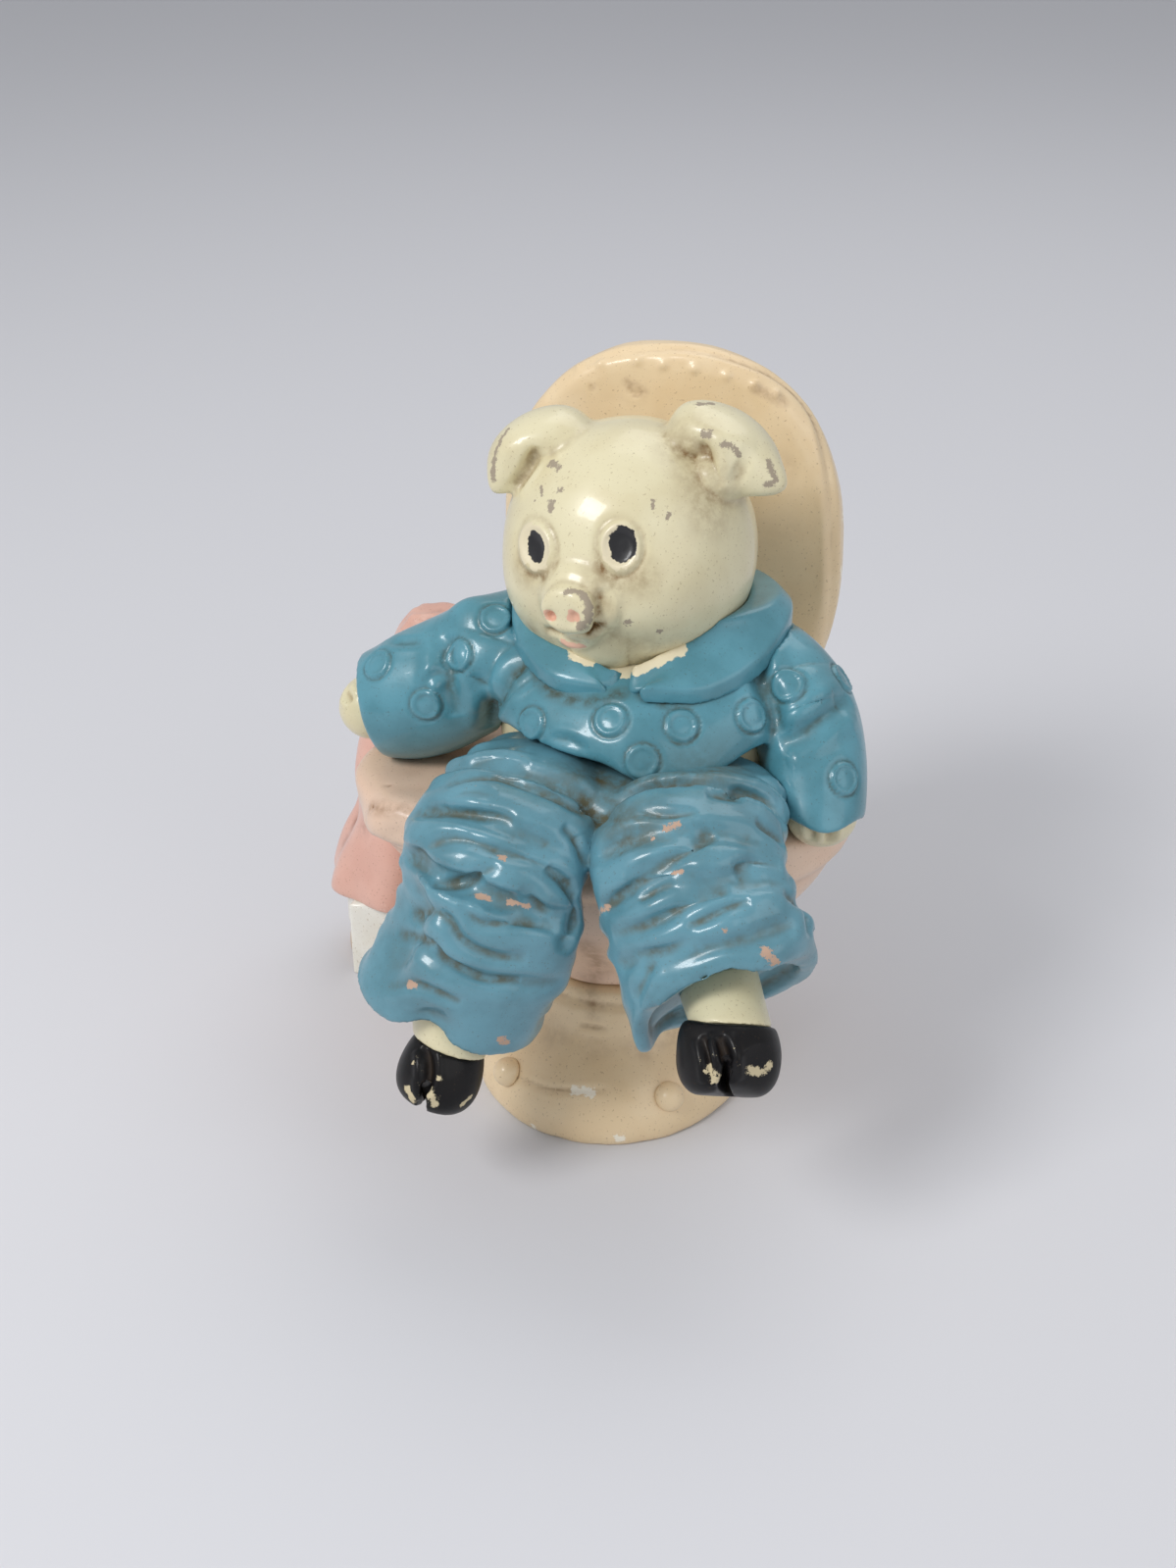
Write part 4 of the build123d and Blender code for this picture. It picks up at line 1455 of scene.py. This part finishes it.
@dataclass(frozen=True)
class Pig:
    """The pig's bare parts: head, hips, hands, ankles and hooves."""

    slot: str = "skin_paint"
    hoof_slot: str = "hoof_black"
    head_cell_mm: float = 0.42
    head_smoothing: int = 9
    head_lumps_mm: float = 0.2
    head_lump_size_mm: float = 9.0
    hips_cell_mm: float = 0.6
    limb_cell_mm: float = 0.35
    hoof_cell_mm: float = 0.3
    limb_smoothing: int = 5

    def face_relief(self) -> list[Brush]:
        """Describes the face's relief.

        Returns:
            The strokes on cheeks, snout, mouth and ears.
        """
        return [
            Swell(RIGHT_CHEEK_PX, width_mm=7.0, height_mm=0.9),
            Swell(LEFT_CHEEK_PX, width_mm=8.0, height_mm=1.4),
            Swell(CHIN_PX, width_mm=4.5, height_mm=0.9),
            Swell(NOSE_BRIDGE_PX, width_mm=6.0, height_mm=-0.4),
            Crease(SNOUT_SIDE_PX, width_mm=1.2, depth_mm=0.9),
            Crease(MOUTH_PX, width_mm=0.7, depth_mm=1.0, lip_share=0.1),
            Crease(MOUTH_CORNER_PX, width_mm=0.8, depth_mm=1.8, lip_share=0.2),
            Swell(SMILE_PX, width_mm=2.6, height_mm=-0.45),
            Swell(LOWER_LIP_PX, width_mm=0.9, height_mm=0.75),
            Swell(RIGHT_NOSTRIL_PX, width_mm=0.85, height_mm=-0.6),
            Swell(LEFT_NOSTRIL_PX, width_mm=0.8, height_mm=-0.6),
            Crease(LEFT_EAR_FOLD_PX, width_mm=1.1, depth_mm=1.0),
            Swell(LEFT_EAR_EDGE_PX, width_mm=1.6, height_mm=0.45),
            Swell(LEFT_EAR_HOLLOW_PX, width_mm=3.0, height_mm=-0.4),
            Crease(RIGHT_EAR_FOLD_PX, width_mm=1.0, depth_mm=0.9),
        ]

    def face_paint(self) -> list[Brush]:
        """Describes the face's paint and wear.

        Returns:
            The daubs of blush, chips and darkening, mostly painted shade.
        """
        return [
            *daubs(Mask.BLUSH, (RIGHT_NOSTRIL_PX, LEFT_NOSTRIL_PX), width_mm=1.0),
            *daubs(Mask.BLUSH, LIP_PAINT_PX, width_mm=0.55),
            *daubs(Mask.SHADE_AND_DIRT, MOUTH_CORNER_SHADE_PX, width_mm=0.7, strength=1.8),
            *daubs(Mask.CHIPS, FACE_CHIPS_PX, width_mm=0.75),
            *daubs(Mask.CHIPS, SNOUT_CHIPS_PX, width_mm=0.7),
            *daubs(Mask.CHIPS, EAR_AND_CHEEK_CHIPS_PX, width_mm=0.6),
            *daubs(Mask.CHIPS, EAR_EDGE_CHIPS_PX, width_mm=0.7),
            *daubs(Mask.CHIPS, BROW_CHIPS_PX, width_mm=0.35),
            *daubs(Mask.SHADE_AND_DIRT, EAR_ROOT_SHADE_PX, width_mm=3.0, strength=0.6),
            *daubs(Mask.SHADE_AND_DIRT, UNDER_EYE_DARKENING_PX, width_mm=1.8, strength=0.6),
            *daubs(Mask.SHADE_AND_DIRT, SNOUT_SHADE_PX, width_mm=1.5, strength=0.55),
            *daubs(Mask.SHADE_AND_DIRT, CHIN_SHADE_PX, width_mm=2.2, strength=0.35),
        ]

    def head(self) -> Casting:
        """Describes the head, which the snout and the ears run into.

        Returns:
            Its casting.
        """
        return Head(
            "head_and_ears",
            ("head", "snout", "ear_right", "ear_left"),
            self.slot,
            SKIN,
            self.head_cell_mm,
            self.head_smoothing,
            self.head_lumps_mm,
            self.head_lump_size_mm,
            [*self.face_relief(), *self.face_paint()],
            HEAD_GRABS,
            EAR_PADS,
            eyes=(LEFT_EYE, RIGHT_EYE),
        )

    def limb(self, node: str, strokes: Sequence[Brush] = (), grabs: Sequence[Grab] = ()) -> Casting:
        """Describes a hand or an ankle.

        Args:
            node: its node.
            strokes: its relief.
            grabs: how it is dragged to the photo's outline.
        Returns:
            Its casting.
        """
        return Casting(
            f"skin_{node}",
            (node,),
            self.slot,
            SKIN,
            self.limb_cell_mm,
            self.limb_smoothing,
            strokes=strokes,
            grabs=grabs,
        )

    def hoof(self, node: str, strokes: Sequence[Brush], grabs: Sequence[Grab] = ()) -> Casting:
        """Describes a hoof.

        Args:
            node: its node.
            strokes: its clefts and chips.
            grabs: how it is dragged to the photo's outline.
        Returns:
            Its casting.
        """
        return Casting(
            f"black_{node}",
            (node,),
            self.hoof_slot,
            HOOF,
            self.hoof_cell_mm,
            self.limb_smoothing,
            strokes=strokes,
            grabs=grabs,
        )

    def castings(self) -> list[Casting]:
        """Describes the pig's bare parts.

        Returns:
            The castings in the order that they are built.
        """
        right_fingers = [
            *creases(RIGHT_FINGERS_PX, width_mm=0.8, depth_mm=0.9),
            *creases(RIGHT_FINGERS_SIDE_PX, width_mm=0.9, depth_mm=1.0, view=PIG_RIGHT),
        ]
        right_hoof = [
            Crease(RIGHT_CLEFT_PX, width_mm=0.9, depth_mm=1.2),
            *daubs(Mask.CHIPS, RIGHT_HOOF_CHIPS_PX, width_mm=0.8),
            *daubs(Mask.CHIPS, RIGHT_HOOF_NICKS_PX, width_mm=0.5),
        ]
        left_hoof = [
            Crease(LEFT_GROOVE_PX, width_mm=0.7, depth_mm=0.9),
            Crease(LEFT_CLEFT_PX, width_mm=0.8, depth_mm=1.1),
            *daubs(Mask.CHIPS, LEFT_HOOF_CHIPS_PX, width_mm=0.8),
        ]
        return [
            self.head(),
            Casting("bare_hips", ("hips",), self.slot, SKIN, self.hips_cell_mm),
            self.limb("hand_left", creases(LEFT_FINGERS_PX, width_mm=0.8, depth_mm=0.9), LEFT_HAND_GRABS),
            self.limb("hand_right", right_fingers),
            self.limb("ankle_right"),
            self.limb("ankle_left"),
            self.hoof("hoof_right", right_hoof),
            self.hoof("hoof_left", left_hoof, LEFT_HOOF_GRABS),
        ]


# Pixel paths on the pyjamas
RIGHT_SLEEVE_SWELL_PX = ((500, 650), (485, 690))
LEFT_SLEEVE_SWELL_PX = ((815, 680), (830, 715))
BELLY_PX = ((640, 745),)
LEFT_SLEEVE_DIP_PX = ((812, 772), (840, 758), (868, 740))
LEFT_SLEEVE_RISE_PX = ((800, 742), (825, 730), (850, 712))
SLEEVE_FOLDS_PX = (
    ((459, 648), (455, 670), (457, 690), (460, 708), (466, 730)),
    ((540, 673), (523, 687), (513, 703), (503, 723), (498, 742)),
    ((780, 623), (771, 657), (774, 690), (787, 723), (797, 747)),
    ((796, 760), (823, 745), (850, 725), (872, 708)),
)
SMALL_SLEEVE_FOLDS_PX = (
    ((432, 702), (440, 691), (450, 683)),
    ((500, 748), (515, 744), (528, 750)),
    ((545, 690), (525, 705), (512, 722)),
    ((380, 650), (400, 655), (430, 655)),
    ((600, 765), (580, 755), (560, 752)),
)
CHEST_DOTS_PX = ((541, 738), (623, 735), (695, 740), (767, 730), (655, 777))
SLEEVE_DOTS_PX = ((505, 630), (467, 668), (434, 719), (384, 677), (803, 700), (847, 668), (862, 794))
BACK_DOTS_PX = (
    *((520, 640), (600, 700), (680, 650), (740, 720), (460, 720)),
    *((820, 660), (390, 690), (560, 770), (650, 790)),
)
LEFT_SIDE_DOTS_PX = ((560, 700), (640, 660), (700, 720), (600, 770))
RIGHT_SIDE_DOTS_PX = ((520, 660),)
NECK_PX = (((600, 676), (625, 683), (642, 684), (660, 680), (680, 672)),)
RIGHT_NECK_PX = (((575, 660), (600, 671), (628, 681)),)
LEFT_NECK_PX = (((650, 680), (672, 671), (692, 660)),)
# Darker along the jacket's lower edge
JACKET_HEM_DARKENING_PX = (((520, 770), (600, 785), (650, 800), (720, 785)),)
# Painted shade between the right sleeve and the body
ARMPIT_SHADE_PX = (((545, 665), (520, 700), (500, 740)),)
# Painted shade under the lower edges of the collar flaps
COLLAR_SHADE_PX = (
    ((546, 680), (560, 704), (600, 716), (634, 708)),
    ((656, 710), (690, 717), (740, 697), (775, 657), (786, 628)),
)
MAIN_FOLDS_PX = (
    ((455, 800), (485, 792), (510, 790), (540, 800), (570, 812), (600, 828), (632, 838)),
    (
        *((420, 874), (447, 858), (470, 855), (493, 862), (515, 869)),
        *((540, 874), (562, 888), (582, 904), (600, 922)),
    ),
    ((420, 934), (440, 930), (457, 940), (468, 957), (487, 970), (510, 977), (537, 978)),
    ((560, 883), (577, 897), (589, 920), (584, 947), (573, 972)),
    ((797, 820), (760, 812), (720, 808)),
    ((640, 900), (677, 880), (700, 867), (728, 853)),
    ((618, 955), (650, 947), (673, 937), (700, 922), (727, 913), (745, 910)),
    ((748, 889), (777, 877), (797, 883), (820, 899)),
)
LESSER_FOLDS_PX = (
    ((432, 828), (460, 828), (490, 831), (525, 835)),
    ((436, 905), (470, 900), (493, 890), (508, 881)),
    ((470, 923), (487, 940), (507, 943), (533, 940), (560, 947), (578, 961)),
    ((406, 952), (437, 960), (460, 980), (493, 997), (530, 998)),
    ((573, 843), (587, 857), (593, 873), (600, 900), (607, 922)),
    ((650, 827), (680, 830), (712, 828)),
    ((617, 927), (637, 910), (660, 898), (683, 890), (710, 888)),
    ((700, 945), (723, 935), (737, 927), (765, 918)),
    ((770, 837), (793, 853), (812, 875)),
    ((800, 908), (820, 927), (828, 955)),
    ((773, 793), (790, 803), (808, 821)),
)
SMALL_FOLDS_PX = (
    ((393, 1007), (420, 1003), (447, 1013), (470, 1023)),
    ((653, 920), (670, 907), (687, 898)),
    ((650, 973), (680, 967), (710, 953)),
    ((620, 973), (627, 1007), (637, 1033)),
    ((647, 1017), (660, 993), (670, 980)),
    ((480, 778), (510, 772), (540, 778)),
    ((455, 812), (480, 808), (505, 812)),
    ((530, 905), (545, 915), (560, 930)),
)
LEFT_HEM_PX = ((700, 1008), (717, 1002), (735, 996), (755, 990))
# Real dirt in the gap at the top of the legs, and painted shade just under the jacket's hem
WAIST_DIRT_AND_SHADE_PX = (((600, 820), (635, 838), (650, 840)), ((590, 790), (660, 800), (740, 785)))
LEG_CHIPS_PX = (
    ((487, 915), (497, 916)),
    ((520, 919), (538, 921)),
    ((678, 845), (692, 841)),
    ((667, 857),),
)
LARGE_LEG_CHIPS_PX = (
    ((780, 970), (790, 980)),
    ((510, 1060), (516, 1064)),
    ((415, 1003), (421, 1006)),
    ((512, 873),),
)
SMALL_LEG_CHIPS_PX = (((740, 948),), ((683, 891), (694, 889)), ((620, 925), (612, 930)))

# How the pyjamas' solids are dragged to the photo's outline
JACKET_GRABS = [
    Grab(((480, 628),), width_mm=5.0, shift_px=(-7, -12)),
    Grab(((456, 655),), width_mm=3.0, shift_px=(3, 9)),
    Grab(((400, 665),), width_mm=6.0, shift_px=(-3, -6)),
    Grab(((600, 772), (640, 780), (690, 776)), width_mm=6.0, shift_px=(0, 24)),
    Grab(((560, 765),), width_mm=4.5, shift_px=(0, 6)),
    Grab(((730, 772),), width_mm=5.0, shift_px=(0, 10)),
    Grab(((845, 812),), width_mm=6.0, shift_px=(-2, 24)),
    Grab(((820, 640),), width_mm=5.0, shift_px=(6, -8)),
]
RIGHT_COLLAR_GRABS = [
    Grab(((618, 682),), width_mm=3.0, shift_px=(10, 20)),
    Grab(((588, 706),), width_mm=3.2, shift_px=(26, 1)),
]
LEFT_COLLAR_GRABS = [
    Grab(((660, 682),), width_mm=3.0, shift_px=(-16, 20)),
    Grab(((682, 716),), width_mm=3.4, shift_px=(-24, -8)),
]
TROUSER_GRABS = [
    Grab(((385, 1000),), width_mm=5.0, shift_px=(-4, 6)),
    Grab(((396, 920), (384, 958)), width_mm=6.5, shift_px=(34, 0)),
    Grab(((740, 1000),), width_mm=4.0, shift_px=(0, -10)),
    Grab(((568, 955), (560, 1000)), width_mm=6.0, shift_px=(15, 0)),
    Grab(((440, 1058),), width_mm=4.5, shift_px=(0, -20)),
    Grab(((548, 1068),), width_mm=5.0, shift_px=(3, 18)),
    Grab(((655, 1045),), width_mm=5.0, shift_px=(6, 24)),
    Grab(((684, 1052),), width_mm=5.0, shift_px=(4, 34)),
]

# Clay that joins the legs, and folds round their backs
CROTCH_PAD = Pad(centre_mm=(5.3, -20.0, 66.0), radii_mm=(12.0, 15.0, 7.0))
RIGHT_LEG_BANDS = (
    BandFold(centre_mm=(-9.9, -21.0, 68.9), heading=(-0.1, -1.0, -0.1)),
    BandFold(centre_mm=(-10.6, -29.5, 67.5), heading=(-0.3, -1.0, -0.3)),
    BandFold(centre_mm=(-11.4, -38.5, 64.0), heading=(-0.1, -0.8, -0.7)),
    BandFold(centre_mm=(-13.0, -42.0, 57.0), heading=(-0.2, -0.5, -0.9)),
    BandFold(centre_mm=(-16.0, -43.0, 49.0), heading=(-0.4, -0.1, -1.0)),
    BandFold(centre_mm=(-18.5, -42.5, 41.5), heading=(-0.2, 0.2, -1.0)),
)
LEFT_LEG_BANDS = (
    BandFold(centre_mm=(19.5, -21.0, 68.9), heading=(0.2, -1.0, -0.1)),
    BandFold(centre_mm=(20.0, -30.0, 67.5), heading=(0.0, -1.0, -0.3)),
    BandFold(centre_mm=(21.0, -38.5, 65.0), heading=(0.3, -0.8, -0.6)),
    BandFold(centre_mm=(24.0, -42.5, 59.0), heading=(0.3, -0.4, -0.9)),
    BandFold(centre_mm=(26.5, -44.0, 53.0), heading=(0.3, -0.6, -0.8)),
)


@dataclass(frozen=True)
class Pyjamas:
    """The blue pyjamas: the jacket with its sleeves and collar, and the trousers."""

    slot: str = "blue_cloth_paint"
    jacket_cell_mm: float = 0.42
    jacket_lumps_mm: float = 0.2
    jacket_lump_size_mm: float = 8.0
    collar_cell_mm: float = 0.3
    trouser_cell_mm: float = 0.45
    trouser_lumps_mm: float = 0.3
    smoothing: int = 8
    dot_radius_mm: float = 2.45
    neck_width_mm: float = 1.3

    def ring_dots(self) -> list[Brush]:
        """Describes the raised dots all round the jacket.

        Returns:
            The dots.
        """
        views = (
            (PHOTO, (*CHEST_DOTS_PX, *SLEEVE_DOTS_PX)),
            (BEHIND, BACK_DOTS_PX),
            (PIG_LEFT, LEFT_SIDE_DOTS_PX),
            (PIG_RIGHT, RIGHT_SIDE_DOTS_PX),
        )
        return [RingDot((spot,), self.dot_radius_mm, view) for view, spots in views for spot in spots]

    def jacket(self) -> Casting:
        """Describes the jacket, which the sleeves run into.

        Returns:
            Its casting.
        """
        strokes = [
            Swell(RIGHT_SLEEVE_SWELL_PX, width_mm=5.0, height_mm=1.0),
            Swell(LEFT_SLEEVE_SWELL_PX, width_mm=5.0, height_mm=1.2),
            Swell(BELLY_PX, width_mm=8.0, height_mm=0.8),
            Swell(LEFT_SLEEVE_DIP_PX, width_mm=3.0, height_mm=-0.9),
            Swell(LEFT_SLEEVE_RISE_PX, width_mm=2.6, height_mm=0.7),
            *creases(SLEEVE_FOLDS_PX, width_mm=1.6, depth_mm=1.3),
            *creases(SMALL_SLEEVE_FOLDS_PX, width_mm=0.8, depth_mm=0.45),
            *self.ring_dots(),
            *daubs(Mask.WHITE, NECK_PX, width_mm=self.neck_width_mm),
            *daubs(Mask.SHADE_AND_DIRT, JACKET_HEM_DARKENING_PX, width_mm=3.0, strength=0.5),
            *daubs(Mask.SHADE_AND_DIRT, ARMPIT_SHADE_PX, width_mm=1.5, strength=0.6),
            *daubs(Mask.SHADE_AND_DIRT, COLLAR_SHADE_PX, width_mm=0.8, strength=1.2),
        ]
        return Casting(
            "jacket_and_sleeves",
            ("jacket", "sleeve_right", "sleeve_left"),
            self.slot,
            BLUE,
            self.jacket_cell_mm,
            self.smoothing,
            self.jacket_lumps_mm,
            self.jacket_lump_size_mm,
            strokes,
            JACKET_GRABS,
        )

    def collar_flap(self, side: str, neck_px: Sequence[Path], grabs: Sequence[Grab]) -> Casting:
        """Describes a flap of the collar.

        Args:
            side: the pig's right or left.
            neck_px: where the pale neck shows inside the flap.
            grabs: how the flap is dragged to the photo's outline.
        Returns:
            Its casting.
        """
        return Casting(
            f"collar_flap_{side}",
            (f"collar_{side}",),
            self.slot,
            BLUE,
            self.collar_cell_mm,
            self.smoothing,
            strokes=daubs(Mask.WHITE, neck_px, width_mm=self.neck_width_mm),
            grabs=grabs,
        )

    def trousers(self) -> Casting:
        """Describes the trousers, whose legs are joined at the crotch.

        Returns:
            Their casting.
        """
        strokes = [
            *RIGHT_LEG_BANDS,
            *LEFT_LEG_BANDS,
            *creases(MAIN_FOLDS_PX, width_mm=2.3, depth_mm=0.75),
            *creases(MAIN_FOLDS_PX, width_mm=1.1, depth_mm=0.6),
            *creases(LESSER_FOLDS_PX, width_mm=1.7, depth_mm=0.6),
            *creases(LESSER_FOLDS_PX, width_mm=0.8, depth_mm=0.45),
            *creases(SMALL_FOLDS_PX, width_mm=1.0, depth_mm=0.6),
            Rub(LEFT_HEM_PX, width_mm=2.2, steps=60),
            *daubs(Mask.SHADE_AND_DIRT, WAIST_DIRT_AND_SHADE_PX, width_mm=2.6, strength=0.8),
            *daubs(Mask.CHIPS, LEG_CHIPS_PX, width_mm=0.7),
            *daubs(Mask.CHIPS, LARGE_LEG_CHIPS_PX, width_mm=0.8),
            *daubs(Mask.CHIPS, SMALL_LEG_CHIPS_PX, width_mm=0.6),
        ]
        return Casting(
            "trousers",
            ("trouser_leg_right", "trouser_leg_left"),
            self.slot,
            TROUSER_BLUE,
            self.trouser_cell_mm,
            self.smoothing,
            self.trouser_lumps_mm,
            strokes=strokes,
            grabs=TROUSER_GRABS,
            pads=(CROTCH_PAD,),
        )

    def castings(self) -> list[Casting]:
        """Describes the pyjamas.

        Returns:
            The castings in the order that they are built.
        """
        right_flap = self.collar_flap("right", RIGHT_NECK_PX, RIGHT_COLLAR_GRABS)
        left_flap = self.collar_flap("left", LEFT_NECK_PX, LEFT_COLLAR_GRABS)
        return [self.jacket(), right_flap, left_flap, self.trousers()]


# Pixel paths on the stand beside the toilet
TOWEL_TOP_FOLDS_PX = (((410, 640), (440, 630), (465, 634)), ((408, 648), (438, 640), (466, 642)))
TOWEL_GRABS = [
    Grab(((348, 790), (348, 830)), width_mm=9.0, shift_px=(22, 0)),
    Grab(((350, 915),), width_mm=6.0, shift_px=(-3, 2)),
]
STAND_GRABS = [Grab(((362, 985),), width_mm=7.0, shift_px=(-8, -20))]


@dataclass(frozen=True)
class SideStand:
    """The stand beside the toilet: a tan foot, a paper roll and a draped towel."""

    foot_cell_mm: float = 0.45
    roll_cell_mm: float = 0.4
    roll_smoothing: int = 6
    towel_cell_mm: float = 0.5
    towel_smoothing: int = 8
    towel_lumps_mm: float = 0.4
    towel_lump_size_mm: float = 6.0
    drape_foot_mm: Point = (-51.5, 25.0, 17.0)
    drape_head_mm: Point = (-41.5, 26.0, 77.5)
    drape_folds: int = 8
    drape_depth_mm: float = 0.75

    def towel(self) -> Casting:
        """Describes the towel.

        Returns:
            Its casting.
        """
        strokes = [
            Drapery(self.drape_foot_mm, self.drape_head_mm, self.drape_folds, self.drape_depth_mm),
            *creases(TOWEL_TOP_FOLDS_PX, width_mm=0.9, depth_mm=0.5),
        ]
        return Casting(
            "draped_towel",
            ("towel",),
            "towel_pink",
            TOWEL,
            self.towel_cell_mm,
            self.towel_smoothing,
            self.towel_lumps_mm,
            self.towel_lump_size_mm,
            strokes,
            TOWEL_GRABS,
        )

    def castings(self) -> list[Casting]:
        """Describes the stand.

        Returns:
            The castings in the order that they are built.
        """
        return [
            Casting("tan_foot", ("stand_foot",), "stand_tan", STAND, self.foot_cell_mm, grabs=STAND_GRABS),
            Casting("roll", ("paper_roll",), "paper_white", PAPER, self.roll_cell_mm, self.roll_smoothing),
            self.towel(),
        ]


@dataclass(frozen=True)
class Lamp:
    """A soft light that faces the figurine."""

    name: str
    place: Point
    size: float
    power: float

    def add(self) -> None:
        """Adds the light to the scene."""
        data = bpy.data.lights.new(self.name, "AREA")
        data.size = self.size
        data.energy = self.power
        lamp = bpy.data.objects.new(self.name, data)
        lamp.location = self.place
        aim = Vector(PHOTO.target) - Vector(self.place)
        lamp.rotation_euler = aim.to_track_quat("-Z", "Y").to_euler()
        bpy.context.scene.collection.objects.link(lamp)


@dataclass(frozen=True)
class Studio:
    """A pale floor, soft lights and the photo's camera."""

    floor_half_size: float = 3.0
    floor_colour: Colour = paint_colour(214, 214, 218)
    floor_roughness: float = 0.8
    world_colour: Colour = paint_colour(226, 228, 232)
    world_strength: float = 0.6
    lamps: tuple[Lamp, ...] = (
        Lamp("key", place=(-0.45, -0.6, 0.75), size=0.35, power=5.6),
        Lamp("fill", place=(0.8, -0.5, 0.5), size=0.8, power=1.8),
        Lamp("top", place=(0.1, 0.5, 0.9), size=0.7, power=2.0),
    )

    def add_floor(self) -> None:
        """Adds the floor, which is no part of the figurine."""
        cells = bmesh.new()
        bmesh.ops.create_grid(cells, x_segments=1, y_segments=1, size=self.floor_half_size)
        mesh = bpy.data.meshes.new("floor")
        cells.to_mesh(mesh)
        cells.free()
        floor = bpy.data.objects.new("floor", mesh)
        bpy.context.scene.collection.objects.link(floor)
        material = bpy.data.materials.new("pale_floor")
        material.use_nodes = True
        shader = material.node_tree.nodes["Principled BSDF"]
        shader.inputs["Base Color"].default_value = self.floor_colour
        shader.inputs["Roughness"].default_value = self.floor_roughness
        mesh.materials.append(material)

    def add_world(self) -> None:
        """Adds the even light from all round, and shows colours as they are."""
        world = bpy.data.worlds.new("studio")
        world.use_nodes = True
        background = world.node_tree.nodes["Background"]
        background.inputs["Color"].default_value = self.world_colour
        background.inputs["Strength"].default_value = self.world_strength
        bpy.context.scene.world = world
        bpy.context.scene.view_settings.view_transform = "Standard"

    def build(self) -> None:
        """Adds the floor, the world, the lights and the camera."""
        self.add_floor()
        self.add_world()
        for lamp in self.lamps:
            lamp.add()
        PHOTO.add_camera()


SEED_STEP = 17.3


def main() -> None:
    """Builds the figurine and its studio."""
    logging.basicConfig(level=logging.INFO)
    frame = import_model()
    painter = Painter()
    sub_assemblies = (Toilet(), Pig(), Pyjamas(), SideStand())
    castings = [casting for sub_assembly in sub_assemblies for casting in sub_assembly.castings()]
    for number, casting in enumerate(castings):
        piece = casting.mesh(frame, seed=number * SEED_STEP)
        casting.dress(piece, painter)
        LOG.info("%s: %d vertices", piece.name, len(piece.data.vertices))
    Studio().build()


if __name__ == "__main__":
    main()
